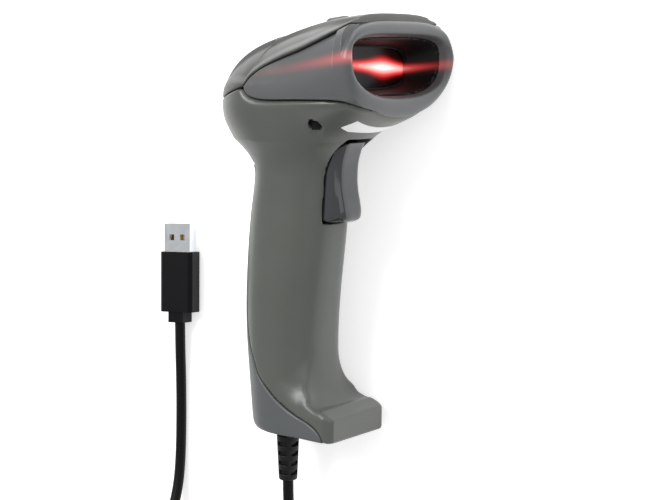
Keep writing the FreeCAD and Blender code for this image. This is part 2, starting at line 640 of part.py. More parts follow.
# ---------------------------------------------------------------- cable socket
relief_x = size("relief_forward")
jack_low = 8.0
jack_case = block("jack_case", "jack_deep", "jack_wide", "jack_tall",
                  (relief_x, 0, jack_low + size("jack_tall") / 2))
clearance = size("modular_clearance")
jack_mouth = doc.addObject("Part::Box", "jack_mouth")
bind(jack_mouth, Length="modular_deep", Width="modular_wide", Height="jack_tall")
jack_mouth.setExpression("Length", "Dims.modular_deep + 2 * Dims.modular_clearance")
jack_mouth.setExpression("Width", "Dims.modular_wide + 2 * Dims.modular_clearance")
jack_mouth.Placement.Base = Vector(relief_x - size("modular_deep") / 2 - clearance,
                                   -size("modular_wide") / 2 - clearance, jack_low - 1.0)
cable_jack = keep(cut("cable_jack", jack_case, jack_mouth), "cable_jack")

flange_top = wall + size("relief_flange_thick")
plug_low = flange_top
modular_core = block("modular_core", "modular_deep", "modular_wide", "modular_tall",
                     (relief_x, 0, plug_low + size("modular_tall") / 2 - 1.0))
modular_core.setExpression("Height", "Dims.modular_tall - 2")
modular_core.Placement.Base.z = plug_low
modular_plug = keep(modular_core, "modular_plug")

relief_body = body("strain_relief_body")
relief_sketch = sketch_on(relief_body, "relief_profile", "XZ_Plane")
top_r, end_r = size("relief_top"), size("relief_end")
relief_length = size("relief_length")
GROOVES = 5
profile = [(0.0, flange_top), (size("relief_flange"), flange_top),
           (size("relief_flange"), wall), (top_r, wall), (top_r, -2.4)]
groove_step = (relief_length - 5.0) / GROOVES
for i in range(GROOVES):
    z = -3.2 - groove_step * i
    radius = top_r - (top_r - end_r) * (i + 0.5) / GROOVES
    profile += [(radius, z), (radius - 0.7, z - 0.3), (radius - 0.7, z - 1.2), (radius, z - 1.5)]
profile += [(end_r, -relief_length), (0.0, -relief_length)]
draw_polygon(relief_sketch, profile)
relief_turn = relief_body.newObject("PartDesign::Revolution", "relief_turn")
relief_turn.Profile = relief_sketch
relief_turn.ReferenceAxis = (relief_sketch, ["V_Axis"])
relief_turn.Angle = 360.0
relief_body.Placement.Base = Vector(relief_x, 0, 0)
keep(relief_body, "strain_relief")

# ---------------------------------------------------------------- scan engine
floor_top = post_top + size("engine_plate")
mirror_x = size("mirror_forward")
engine_half = size("engine_wide") / 2
engine_back = mirror_x - size("engine_long") / 2
wall_top = post_top + size("engine_tall")
engine_plate = block("engine_base", "engine_long", "engine_wide", "engine_plate",
                     (mirror_x, 0, post_top + size("engine_plate") / 2))
frame_pieces = [engine_plate]
for side in (1, -1):
    low, high = sorted((side * (engine_half - 1.4), side * engine_half))
    frame_pieces.append(plain_block("engine_side_%d" % side, (engine_back, low, post_top),
                                    (engine_front, high, wall_top)))
frame_pieces.append(plain_block("engine_rear", (engine_back, -engine_half, post_top),
                                (engine_back + 1.4, engine_half, wall_top)))
for i, (x, y) in enumerate(ENGINE_POSTS):
    frame_pieces.append(drill("engine_ear_%d" % i, 3.2, size("engine_plate"), (x, y, post_top)))
    low, high = sorted((y, math.copysign(13.0, y)))
    frame_pieces.append(plain_block("ear_web_%d" % i, (x - 3.2, low, post_top), (x + 3.2, high, floor_top)))
frame_holes = [drill("ear_bore_%d" % i, size("screw_small"), 4.0, (x, y, post_top - 1))
               for i, (x, y) in enumerate(ENGINE_POSTS)]
frame_holes.append(drill("shaft_seat", size("shaft_radius"), 4.0, (mirror_x, 0, post_top - 1)))
engine_frame = keep(cut("engine_frame", fuse("frame_solid", frame_pieces),
                        fuse("frame_holes", frame_holes)), "engine_frame")

shaft_top = wall_top - 0.4
mirror_shaft = doc.addObject("Part::Cylinder", "mirror_shaft")
bind(mirror_shaft, Radius="shaft_radius")
mirror_shaft.Height = shaft_top - post_top
mirror_shaft.Placement.Base = Vector(mirror_x, 0, post_top)
keep(mirror_shaft, "mirror_shaft")

diagonal = Rotation(AXIS["Z"], -45)      # the mirror faces forward and to the right
facing = diagonal.multVec(Vector(1, 0, 0))
carrier_low = floor_top + 1.4
beam_up = carrier_low + size("carrier_height") / 2
hub = rod("carrier_hub", "carrier_radius", "carrier_height", (mirror_x, 0, carrier_low))
mirror_gap = size("carrier_radius") + 0.4
pad_block = doc.addObject("Part::Box", "carrier_pad")
pad_block.Length, pad_block.Width, pad_block.Height = mirror_gap, 6.0, 6.0
pad_block.Placement = Placement(Vector(mirror_x, 0, beam_up) - diagonal.multVec(Vector(0, 3, 3)), diagonal)
tail_block = doc.addObject("Part::Box", "carrier_tail")
tail_block.Length, tail_block.Width, tail_block.Height = 3.0, 3.0, 4.0
tail_block.Placement = Placement(
    Vector(mirror_x, 0, beam_up) - diagonal.multVec(Vector(3.0, 1.5, 2)), diagonal)
carrier_solid = fuse("carrier_solid", [hub, pad_block, tail_block])
carrier_bore = drill("carrier_bore", size("shaft_radius") + size("shaft_clearance"), 20.0,
                     (mirror_x, 0, carrier_low - 2))
mirror_carrier = keep(cut("mirror_carrier", carrier_solid, carrier_bore), "mirror_carrier")

mirror_middle = Vector(mirror_x, 0, beam_up) + facing * (mirror_gap + size("mirror_thick") / 2)
scan_mirror = keep(block("scan_mirror", "mirror_thick", "mirror_long", "mirror_high",
                         tuple(mirror_middle), diagonal), "scan_mirror")
magnet_middle = Vector(mirror_x, 0, beam_up) - facing * (3.0 + size("magnet_long") / 2)
drive_magnet = keep(block("drive_magnet", "magnet_long", "magnet_wide", "magnet_high",
                          tuple(magnet_middle), diagonal), "drive_magnet")

bobbin_start = Vector(mirror_x, 0, beam_up) - facing * (3.0 + size("magnet_long") + 1.0)
backward = tuple(facing * -1)
bobbin_length, bobbin_flange = size("bobbin_length"), size("bobbin_flange")
far_flange = bobbin_start - facing * (bobbin_length - bobbin_flange)
coil_bobbin = keep(fuse("coil_bobbin", [
    rod("bobbin_middle", "bobbin_core", "bobbin_length", tuple(bobbin_start), backward),
    rod("bobbin_near", "bobbin_radius", "bobbin_flange", tuple(bobbin_start), backward),
    rod("bobbin_far", "bobbin_radius", "bobbin_flange", tuple(far_flange), backward),
]), "coil_bobbin")
winding_start = bobbin_start - facing * bobbin_flange
winding = doc.addObject("Part::Cylinder", "winding")
bind(winding, Radius="coil_radius")
winding.Height = bobbin_length - 2 * bobbin_flange
winding.Placement = Placement(winding_start, turn_to(backward))
winding_bore = drill("winding_bore", size("bobbin_core"), 10.0, tuple(winding_start + facing), backward)
drive_coil = keep(cut("drive_coil", winding, winding_bore), "drive_coil")

# the laser fires to the left, on to the middle of the mirror
beam_x = mirror_middle.x
laser_back = -(engine_half - 1.4)
laser_module = keep(rod("laser_module", "laser_radius", "laser_length",
                        (beam_x, laser_back, beam_up), (0, 1, 0)), "laser_module")
lens_seat = doc.addObject("Part::Cylinder", "laser_lens")
lens_seat.Radius, lens_seat.Height = 1.8, 0.7
lens_seat.Placement = Placement(Vector(beam_x, laser_back + size("laser_length"), beam_up),
                                turn_to((0, 1, 0)))
keep(lens_seat, "laser_lens")
collector_plate = block("collector_plate", "collector_long", "collector_thick", "collector_high",
                        (beam_x, laser_back + size("laser_length") - 0.1, beam_up))
collector_hole = drill("collector_hole", size("laser_radius"), 6.0,
                       (beam_x, laser_back, beam_up), (0, 1, 0))
collector_dish = doc.addObject("Part::Sphere", "collector_dish")
collector_dish.Radius = 30.0
collector_dish.Placement.Base = Vector(beam_x, laser_back + size("laser_length") + 30.0, beam_up)
collector_mirror = keep(cut("collector_mirror", collector_plate,
                            fuse("collector_tools", [collector_hole, collector_dish])),
                        "collector_mirror")

engine_board_body = body("engine_board_body")
engine_board_sketch = sketch_on(engine_board_body, "engine_board_outline", "XY_Plane", wall_top)
draw_rectangle(engine_board_sketch, "engine_board_long", "engine_board_wide", (12.0, 0.0))
pad(engine_board_body, "engine_board_pad", engine_board_sketch, "board_thick")
keep(engine_board_body, "engine_board")
photodiode = keep(block("photodiode", "diode_side", "diode_side", "diode_thick",
                        (15.0, -6.0, wall_top - size("diode_thick") / 2)), "photodiode")
board_top = wall_top + board_thick
status_led = keep(rod("status_led", "led_radius", "led_height",
                      (LENS_AT[0], LENS_AT[1], board_top)), "status_led")

# flat ribbon from the decoder board's top edge, up behind the engine, to its board
ribbon_path = [Vector(-7.2, 0, 97.0), Vector(-8.2, 0, 101.0), Vector(-9.4, 0, 108.0),
               Vector(-10.2, 0, 114.0), Vector(-10.2, 0, 133.0), Vector(-8.6, 0, 138.0),
               Vector(-3.0, 0, 139.4), Vector(0.6, 0, 139.0)]
half_ribbon = size("ribbon_thick") / 2


def offset_line(points, distance):
    """The same side-view line moved sideways by a distance, mitred at its corners."""
    moved = []
    for i, point in enumerate(points):
        before = points[i] - points[i - 1] if i else points[1] - points[0]
        after = points[i + 1] - points[i] if i + 1 < len(points) else before
        normal = Vector(-before.z, 0, before.x).normalize()
        normal = normal + Vector(-after.z, 0, after.x).normalize()
        normal.normalize()
        share = normal.dot(Vector(-after.z, 0, after.x).normalize())
        moved.append(point + normal * (distance / share))
    return moved


ribbon_outline = offset_line(ribbon_path, half_ribbon) + offset_line(ribbon_path, -half_ribbon)[::-1]
ribbon = side_prism("ribbon", None, [(p.x, p.z) for p in ribbon_outline], "ribbon_wide")
ribbon_cable = keep(ribbon, "ribbon_cable")


# ---------------------------------------------------------------- screws
def screw(name, head_at, axis, shaft_length, shaft, head, head_thick):
    """Pan-head screw: head_at is where the head bears, axis points along the shank."""
    direction = Vector(*axis)
    shank = doc.addObject("Part::Cylinder", name + "_shank")
    bind(shank, Radius=shaft)
    shank.Height = shaft_length
    shank.Placement = Placement(Vector(*head_at), turn_to(axis))
    cap = rod(name + "_head", head, head_thick,
              tuple(Vector(*head_at) - direction * size(head_thick)), axis)
    return fuse(name, [shank, cap])


BIG = ("screw_shaft", "screw_head", "screw_head_thick")
SMALL = ("screw_small", "screw_small_head", "screw_small_thick")
head_screws = keep(group("head_screws", [
    screw("head_screw_%d" % i, (x, y, 118.0), (0, 0, 1), 7.6, *BIG)
    for i, (x, y) in enumerate(HEAD_SCREWS)]), "head_screws")
handle_screws = keep(group("handle_screws", [
    screw("handle_screw_%d" % i, (seat, 0, z), (1, 0, 0), shank, *BIG)
    for i, (z, seat, shank) in enumerate(HANDLE_SCREWS)]), "handle_screws")
engine_screws = keep(group("engine_screws", [
    screw("engine_screw_%d" % i, (x, y, floor_top), (0, 0, -1), 6.4, *SMALL)
    for i, (x, y) in enumerate(ENGINE_POSTS)]), "engine_screws")
board_screws = keep(group("board_screws", [
    screw("board_screw_%d" % i, (board_face, y, z), (-1, 0, 0), 2.6, *SMALL)
    for i, (y, z) in enumerate(BOARD_SCREWS)]), "board_screws")

# ---------------------------------------------------------------- lying down
# The scanner rests on its nose rim, its rear shoulder and the edge of its base.
NOSE_TOUCH = Vector(47.95, 34.14, 137.75)
SHOULDER_TOUCH = Vector(-0.76, 26.23, 122.92)
BASE_TOUCH = Vector(-0.29, 16.8, 0.0)
BOX_MIDDLE = Vector(14.70, 65.77, -16.63)    # of the laid scanner, and its lowest level
down = (NOSE_TOUCH - SHOULDER_TOUCH).cross(BASE_TOUCH - SHOULDER_TOUCH).normalize()
if down.y < 0:
    down = down * -1
along = (AXIS["Z"] - down * down.z).normalize()
across = along.cross(down * -1)
laid = FreeCAD.Matrix(across.x, across.y, across.z, 0, along.x, along.y, along.z, 0,
                      -down.x, -down.y, -down.z, 0, 0, 0, 0, 1)
LAY = Placement(BOX_MIDDLE * -1, Placement(laid).Rotation)
for piece in UPRIGHT:
    piece.Placement = LAY.multiply(piece.Placement)
relief_end = LAY.multVec(Vector(relief_x, 0, -relief_length))
print("cord leaves the strain relief at", [round(v, 2) for v in relief_end])

# ---------------------------------------------------------------- cord
cord_radius = size("cord_diameter") / 2
LEAD_ROUTE = [(-16.98, -87.18, 14.67), (-16.98, -99.2, 13.75), (-17.1, -111.5, 9.2),
              (-17.6, -121.5, 4.4), (-18.4, -128.5, 2.3), (-19.3, -135.5, 2.05)]
TAIL_ROUTE = [(-73.5, -135.0, 14.35), (-73.7, -123.0, 13.2), (-73.6, -110.5, 8.4),
              (-73.4, -100.0, 4.0), (-73.7, -88.0, 2.05), (-74.0, -70.0, 2.05),
              (-74.6, -54.0, 2.3), (-74.6, -43.0, 3.5), (-74.8, -32.3, 4.0)]
COIL_CENTRE = (-46.4, -135.0)


def rounded_path(route):
    """Straight runs joined by tangent arcs, each as large as its two runs allow."""
    points = [Vector(*p) for p in route]
    edges, radii, start = [], [], points[0]
    for before, corner, after in zip(points, points[1:], points[2:]):
        way_in, way_out = corner - before, after - corner
        reach = 0.45 * min(way_in.Length, way_out.Length)
        way_in, way_out = way_in.normalize(), way_out.normalize()
        half_turn = way_in.getAngle(way_out) / 2
        radius = reach / math.tan(half_turn)
        first, last = corner - way_in * reach, corner + way_out * reach
        inward = (way_out - way_in).normalize()
        middle = corner + inward * (radius / math.cos(half_turn) - radius)
        edges.append(Part.LineSegment(start, first).toShape())
        edges.append(Part.Arc(first, middle, last).toShape())
        radii.append(radius)
        start = last
    edges.append(Part.LineSegment(start, points[-1]).toShape())
    return Part.Wire(edges), radii


def cord_tube(name, route):
    path, radii = rounded_path(route)
    start, ahead = Vector(*route[0]), Vector(*route[1])
    ring = Part.Wire(Part.Circle(start, ahead - start, cord_radius).toShape())
    tube = path.makePipeShell([ring], True, True)
    share = tube.Volume / (math.pi * cord_radius ** 2 * path.Length)
    print(name, "length %.1f mm, volume over section times length %.4f, radii" % (path.Length, share),
          [round(r) for r in radii])
    return keep(solid(name, tube), name, ON_TABLE)


cord_lead = cord_tube("cord_lead", LEAD_ROUTE)
cord_tail = cord_tube("cord_tail", TAIL_ROUTE)

coil_half = size("coil_columns") * cord_radius
coil_inner, coil_outer = size("coil_middle") - coil_half, size("coil_middle") + coil_half
coil_height = size("coil_layers") * size("cord_diameter")
coil_body = body("cord_coil_body")
coil_sketch = sketch_on(coil_body, "coil_section", "XZ_Plane")
draw_polygon(coil_sketch, [(coil_inner, 0.0), (coil_outer, 0.0), (coil_outer, coil_height),
                           (coil_inner, coil_height)])
coil_turn = coil_body.newObject("PartDesign::Revolution", "coil_turn")
coil_turn.Profile = coil_sketch
coil_turn.ReferenceAxis = (coil_sketch, ["V_Axis"])
coil_turn.Angle = 360.0
coil_body.Placement.Base = Vector(*COIL_CENTRE, 0)
keep(coil_body, "cord_coil", ON_TABLE)

tie_thick, tie_half = size("tie_thick"), size("tie_wide") / 2
tie_low = (COIL_CENTRE[0] - tie_half, COIL_CENTRE[1] - coil_outer - tie_thick, 0.0)
tie_high = (COIL_CENTRE[0] + tie_half, COIL_CENTRE[1] - coil_inner + tie_thick,
            coil_height + tie_thick)
tie_room = plain_block("tie_room", (tie_low[0] - 1, tie_low[1] + tie_thick, tie_thick),
                       (tie_high[0] + 1, tie_high[1] - tie_thick, coil_height))
cable_tie = keep(cut("cable_tie", plain_block("tie_block", tie_low, tie_high), tie_room),
                 "cable_tie", ON_TABLE)

# ---------------------------------------------------------------- USB plug
# drawn along +Y from the cord's end, its wide faces level
PLUG_END = Vector(-74.8, -32.3, 4.0)
PLUG = Placement(PLUG_END, Rotation(AXIS["Z"], 2.0))
collar_long, housing_long = size("collar_long"), size("housing_long")
housing_body = body("plug_housing_body")
housing_sketch = sketch_on(housing_body, "housing_outline", "XZ_Plane", -collar_long)
draw_rectangle(housing_sketch, "housing_wide", "housing_high")
housing_pad = pad(housing_body, "housing_pad", housing_sketch, "housing_long", False, True)
doc.recompute()
long_edges = ["Edge%d" % (i + 1) for i, e in enumerate(housing_pad.Shape.Edges)
              if e.BoundBox.YLength > 20]
housing_chamfer = housing_body.newObject("PartDesign::Chamfer", "housing_chamfer")
housing_chamfer.Base = (housing_pad, long_edges)
bind(housing_chamfer, Size="housing_edge")
collar_sketch = sketch_on(housing_body, "collar_outline", "XZ_Plane")
draw_rectangle(collar_sketch, "collar_wide", "collar_high")
pad(housing_body, "collar_pad", collar_sketch, "collar_long", False, True)
keep(housing_body, "plug_housing", ON_TABLE)

shell_start = collar_long + housing_long
usb_long, usb_skin = size("usb_long"), size("usb_skin")
shell_box = block("usb_outside", "usb_wide", "usb_long", "usb_high",
                  (0, shell_start + usb_long / 2, 0))
usb_inside = doc.addObject("Part::Box", "usb_inside")
bind(usb_inside, Length="usb_wide", Width="usb_long", Height="usb_high")
usb_inside.setExpression("Length", "Dims.usb_wide - 2 * Dims.usb_skin")
usb_inside.setExpression("Height", "Dims.usb_high - 2 * Dims.usb_skin")
usb_inside.Placement.Base = Vector(-size("usb_wide") / 2 + usb_skin, shell_start - 0.01,
                                   -size("usb_high") / 2 + usb_skin)
usb_inside.setExpression("Width", "Dims.usb_long + 1")
usb_holes = [usb_inside]
for side in (1, -1):
    hole = bind(doc.addObject("Part::Box", "usb_window_%d" % side),
                Length="usb_hole", Width="usb_hole", Height="usb_high")
    hole.setExpression("Height", "Dims.usb_high + 2")
    hole.Placement.Base = Vector(side * 2.5 - size("usb_hole") / 2, shell_start + 4.6,
                                 -size("usb_high") / 2 - 1)
    usb_holes.append(hole)
plug_shell = keep(cut("plug_shell", shell_box, fuse("usb_holes", usb_holes)), "plug_shell", ON_TABLE)

# the tongue fills the lower part of the shell, contacts lie on its upper face
tongue_floor = -size("usb_high") / 2 + usb_skin
tongue = doc.addObject("Part::Box", "tongue")
bind(tongue, Length="usb_wide", Width="tongue_long", Height="tongue_thick")
tongue.setExpression("Length", "Dims.usb_wide - 2 * Dims.usb_skin")
tongue.Placement.Base = Vector(-size("usb_wide") / 2 + usb_skin, shell_start, tongue_floor)
plug_insulator = keep(tongue, "plug_insulator", ON_TABLE)
contact_top = tongue_floor + size("tongue_thick") + size("contact_thick") / 2
plug_contacts = keep(group("plug_contacts", [
    block("contact_%d" % i, "contact_wide", "contact_long", "contact_thick",
          (x, shell_start + 0.4 + size("contact_long") / 2, contact_top))
    for i, x in enumerate((-3.5, -1.0, 1.0, 3.5))]), "plug_contacts", ON_TABLE)
for piece in ON_TABLE:
    if piece.Label.startswith("plug_"):
        piece.Placement = PLUG.multiply(piece.Placement)

# ---------------------------------------------------------------- check and write
doc.recompute()
for thing in doc.Objects:
    if "Invalid" in thing.State or "Error" in thing.State:
        raise RuntimeError("%s did not rebuild: %s" % (thing.Name, thing.State))
os.makedirs("parts", exist_ok=True)
for piece in UPRIGHT + ON_TABLE:
    shape = piece.Shape
    if shape.isNull() or not shape.isValid() or not shape.Solids:
        raise RuntimeError("%s has no sound solid" % piece.Label)
    shape.exportStep(os.path.join("parts", piece.Label + ".step"))
print(len(UPRIGHT + ON_TABLE), "nodes written")
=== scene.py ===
import math

import bpy
import numpy as np
from mathutils import Matrix, Vector


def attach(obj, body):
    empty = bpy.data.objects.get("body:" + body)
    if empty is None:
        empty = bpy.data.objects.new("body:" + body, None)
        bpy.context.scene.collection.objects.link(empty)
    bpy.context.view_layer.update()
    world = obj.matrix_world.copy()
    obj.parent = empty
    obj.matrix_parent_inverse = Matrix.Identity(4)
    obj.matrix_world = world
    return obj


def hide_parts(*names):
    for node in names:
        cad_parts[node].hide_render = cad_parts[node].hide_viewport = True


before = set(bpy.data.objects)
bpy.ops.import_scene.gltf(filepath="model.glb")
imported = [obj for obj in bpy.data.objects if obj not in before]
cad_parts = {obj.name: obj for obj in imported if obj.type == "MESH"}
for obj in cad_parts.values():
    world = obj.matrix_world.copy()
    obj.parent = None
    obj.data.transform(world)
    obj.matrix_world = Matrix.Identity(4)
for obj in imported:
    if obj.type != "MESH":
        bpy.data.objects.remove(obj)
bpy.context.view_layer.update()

# Handheld barcode scanner lying on its left side, with its cord and USB plug.
# Its casing is drawn in the scanner's own upright axes, in millimetres: X forward,
# Y left, Z up from the middle of the handle's base.  to_row() lays it down.
MM = 0.001
LAY_TURN = np.array([[0.99049, 0.13755, 0.0], [-0.01049, 0.07557, 0.99709],
                     [0.13715, -0.98761, 0.07629]])
LAY_SHIFT = np.array([-14.70, -65.77, 16.63])


def to_row(points):
    """Upright millimetres to the row frame's metres."""
    return (np.asarray(points, float) @ LAY_TURN.T + LAY_SHIFT) * MM


# ---------------------------------------------------------------- camera
CAMERA_AT = Vector((287.11, 32.9, 563.5)) * MM
CAMERA_RIGHT = Vector((0.884, 0.0357, -0.4662)).normalized()
CAMERA_BACK = Vector((0.4642, 0.0514, 0.8842)).normalized()
CAMERA_UP = CAMERA_BACK.cross(CAMERA_RIGHT).normalized()

camera_data = bpy.data.cameras.new("camera")
camera_data.lens = 89.81
camera_data.sensor_width = 36.0
camera = bpy.data.objects.new("camera", camera_data)
bpy.context.scene.collection.objects.link(camera)
camera_turn = Matrix((CAMERA_UP.cross(CAMERA_BACK), CAMERA_UP, CAMERA_BACK)).transposed()
camera.matrix_world = Matrix.Translation(CAMERA_AT) @ camera_turn.to_4x4()
bpy.context.scene.camera = camera

# ---------------------------------------------------------------- cord
CORD_DIAMETER = 4.1
LEAD_ROUTE = [(-16.98, -87.18, 14.67), (-16.98, -99.2, 13.75), (-17.1, -111.5, 9.2),
              (-17.6, -121.5, 4.4), (-18.4, -128.5, 2.3), (-19.3, -135.5, 2.05)]
TAIL_ROUTE = [(-73.5, -135.0, 14.35), (-73.7, -123.0, 13.2), (-73.6, -110.5, 8.4),
              (-73.4, -100.0, 4.0), (-73.7, -88.0, 2.05), (-74.0, -70.0, 2.05),
              (-74.6, -54.0, 2.3), (-74.6, -43.0, 3.5), (-74.8, -32.3, 4.0)]
COIL_CENTRE = (-46.4, -135.0)
COIL_RADII = (27.1, 23.0, 18.9)
COIL_HEIGHTS = (2.05, 6.15, 10.25, 14.35)
COIL_TURNS = 10.5
POINTS_PER_TURN = 20
STEP_TURNS = 0.2    # share of a turn that each step to the next column or layer takes
# turn at which the cord starts each step, and the column and layer it steps to
COIL_STEPS = [(0.8, 1, 0), (1.8, 2, 0), (2.6, 2, 1), (3.4, 1, 1), (4.4, 0, 1), (5.2, 0, 2),
              (6.0, 1, 2), (7.0, 2, 2), (7.8, 2, 3), (8.6, 1, 3), (9.6, 0, 3)]


def coil_points():
    """Turns laid beside and on each other, clockwise seen from above."""
    points = []
    for i in range(1, int(COIL_TURNS * POINTS_PER_TURN)):
        turned = i / POINTS_PER_TURN
        radius, height = COIL_RADII[0], COIL_HEIGHTS[0]
        for start, column, layer in COIL_STEPS:
            share = min(1.0, max(0.0, (turned - start) / STEP_TURNS))
            radius += (COIL_RADII[column] - radius) * share
            height += (COIL_HEIGHTS[layer] - height) * share
        angle = -2 * math.pi * turned
        points.append((COIL_CENTRE[0] + radius * math.cos(angle),
                       COIL_CENTRE[1] + radius * math.sin(angle), height))
    return points


cord_route = LEAD_ROUTE + coil_points() + TAIL_ROUTE
cord_data = bpy.data.curves.new("cord", "CURVE")
cord_data.dimensions = "3D"
cord_data.bevel_depth = CORD_DIAMETER / 2 * MM
cord_data.bevel_resolution = 6
cord_data.resolution_u = 5
cord_data.use_fill_caps = True
line = cord_data.splines.new("NURBS")
line.points.add(len(cord_route) - 1)
for spot, place in zip(line.points, cord_route):
    spot.co = (place[0] * MM, place[1] * MM, place[2] * MM, 1.0)
line.order_u = 3
line.use_endpoint_u = True
cord = bpy.data.objects.new("cord", cord_data)
bpy.context.scene.collection.objects.link(cord)

# ---------------------------------------------------------------- shape fields
# Each field takes points as an (n, 3) array of upright millimetres and gives
# about the distance to its surface, negative inside.
WALL = 1.7
SEAM_GAP = 0.16     # half the gap between two casing pieces at the surface
LIP_GAP = 0.03      # and below it


def smooth_max(a, b, radius):
    """Intersection of two fields with its edge rounded."""
    near = np.maximum(radius - np.abs(a - b), 0.0) / radius
    return np.maximum(a, b) + near * near * radius * 0.25


def smooth_min(a, b, radius):
    return -smooth_max(-a, -b, radius)


def ramp(value, start, end):
    """0 at start to 1 at end, smoothly."""
    t = np.clip((value - start) / (end - start), 0.0, 1.0)
    return t * t * (3.0 - 2.0 * t)


def superellipse(y, z, half, rise, power):
    """Radius ratio of a point to the section's outline, and that ratio's slope."""
    a, b = np.abs(y) / half, np.abs(z) / rise
    a_slope, b_slope = a ** (power - 1.0), b ** (power - 1.0)
    ratio = np.maximum(a * a_slope + b * b_slope, 1e-9) ** (1.0 / power)
    slope = ratio ** (1.0 - power) * np.hypot(a_slope / half, b_slope / rise)
    return ratio, slope


HEAD_BACK, HEAD_DEEPEST, HEAD_FRONT = -24.6, 2.0, 50.0
WIDEST_LINE, LINE_SLOPE = 138.3, 0.26       # where the sides are widest: height at the nose
HEAD_HALF, NOSE_WIDENING = 26.7, 7.9
HEAD_TOP, TOP_RISE, REAR_RISE = 153.3, 7.9, 20.1
HEAD_FLOOR, CHIN_RISE = 104.0, 13.5


def head(p, inset=0.0):
    """The head without its flat front."""
    x, y, z = p.T
    line = WIDEST_LINE - LINE_SLOPE * (HEAD_FRONT - x)
    along = np.clip((x - HEAD_DEEPEST) / (HEAD_FRONT - HEAD_DEEPEST), 0.0, 1.3)
    half = HEAD_HALF + NOSE_WIDENING * along ** 1.25 - inset
    crown = HEAD_TOP - TOP_RISE * (1.0 - along) ** 2
    top = np.where(x > HEAD_DEEPEST, crown - line, REAR_RISE) - inset
    low = line - HEAD_FLOOR - CHIN_RISE * along ** 1.8 - inset
    upper = z > line
    power = np.where(upper, 2.3 + 0.9 * np.clip(x / HEAD_FRONT, 0.0, 1.0), 2.05)
    ratio, slope = superellipse(y, z - line, half, np.where(upper, top, low), power)
    reach = HEAD_DEEPEST - HEAD_BACK - inset
    behind = np.maximum(HEAD_DEEPEST - x, 0.0) / reach
    lean = (y / half) ** 2 / ((y / half) ** 2 + ((z - line) / top) ** 2 + 1e-9)
    power = 2.35 - 0.35 * lean
    whole = np.maximum(behind ** power + ratio ** power, 1e-9) ** (1.0 / power)
    steep = whole ** (1.0 - power) * np.hypot(behind ** (power - 1.0) / reach,
                                              ratio ** (power - 1.0) * slope)
    return (whole - 1.0) / np.maximum(steep, 1e-4)


# height, back and front of the handle
HANDLE_STATIONS = [(0.0, -12.4, 18.4), (3.0, -13.1, 18.9), (12.0, -14.2, 18.0),
                   (26.0, -15.5, 16.6), (42.0, -16.7, 17.1), (58.0, -16.6, 18.9),
                   (72.0, -15.6, 20.8), (86.0, -14.1, 22.0), (96.0, -12.6, 23.0),
                   (103.0, -13.8, 24.5), (108.0, -17.0, 27.0)]
CURVE_DEGREE, CURVE_UNIT = 8, 100.0
levels, backs, fronts = np.array(HANDLE_STATIONS).T
BACK_CURVE = np.polyfit(levels / CURVE_UNIT, backs, CURVE_DEGREE)
FRONT_CURVE = np.polyfit(levels / CURVE_UNIT, fronts, CURVE_DEGREE)
HANDLE_HALF, HANDLE_TAPER = 17.0, 1.7
NECK_FROM, NECK_FLARE = 95.0, 0.015
HANDLE_END = 119.0      # inside the head


def handle(p, inset=0.0):
    """The grip, from the base to inside the head."""
    x, y, z = p.T
    level = np.clip(z, 0.0, HANDLE_STATIONS[-1][0])
    back = np.polyval(BACK_CURVE, level / CURVE_UNIT)
    front = np.polyval(FRONT_CURVE, level / CURVE_UNIT)
    half = (HANDLE_HALF - HANDLE_TAPER * np.minimum(1.0, level / 90.0)
            + NECK_FLARE * np.maximum(0.0, level - NECK_FROM) ** 2)
    ratio, slope = superellipse(x - (back + front) / 2, y, (front - back) / 2 - inset,
                                half - inset, 2.3)
    side = (ratio - 1.0) / np.maximum(slope, 1e-4)
    return np.maximum(side, z - HANDLE_END)


def smooth_line(points, parts=6):
    """Points along a curve that runs smoothly through the given ones."""
    spots = np.array(points, float)
    slopes = np.gradient(spots, axis=0)
    made = []
    for a, b, m, n in zip(spots, spots[1:], slopes, slopes[1:]):
        for t in np.arange(parts) / parts:
            made.append(a * (1 + 2 * t) * (1 - t) ** 2 + m * t * (1 - t) ** 2
                        + b * t * t * (3 - 2 * t) + n * t * t * (t - 1))
    return [tuple(q) for q in made] + [tuple(spots[-1])]


class Outline:
    """Distance to a closed outline in a plane, negative inside, kept on a fine grid."""

    def __init__(self, points, low, high, step=0.2):
        self.low, self.step = np.array(low, float), step
        count = np.ceil((np.array(high, float) - self.low) / step).astype(int) + 1
        u, v = np.meshgrid(*(l + step * np.arange(n) for l, n in zip(self.low, count)),
                           indexing="ij")
        best, inside = np.full(u.shape, 1e9), np.zeros(u.shape, bool)
        for (au, av), (bu, bv) in zip(points, list(points[1:]) + [points[0]]):
            eu, ev = bu - au, bv - av
            t = np.clip(((u - au) * eu + (v - av) * ev) / max(eu * eu + ev * ev, 1e-12), 0.0, 1.0)
            best = np.minimum(best, (u - au - t * eu) ** 2 + (v - av - t * ev) ** 2)
            if ev:
                inside ^= ((av > v) != (bv > v)) & (u < au + (v - av) * eu / ev)
        self.grid = np.sqrt(best) * np.where(inside, -1.0, 1.0)

    def __call__(self, u, v):
        last = np.array(self.grid.shape) - 2
        s = np.clip((u - self.low[0]) / self.step, 0.0, last[0] + 0.999)
        t = np.clip((v - self.low[1]) / self.step, 0.0, last[1] + 0.999)
        i, j = s.astype(int), t.astype(int)
        s, t, g = s - i, t - j, self.grid
        return ((g[i, j] * (1 - s) + g[i + 1, j] * s) * (1 - t)
                + (g[i, j + 1] * (1 - s) + g[i + 1, j + 1] * s) * t)


def mirrored(points):
    """A half outline closed with its reflection in the plane y = 0, given y first."""
    return points + [(-y, z) for y, z in points[::-1]]


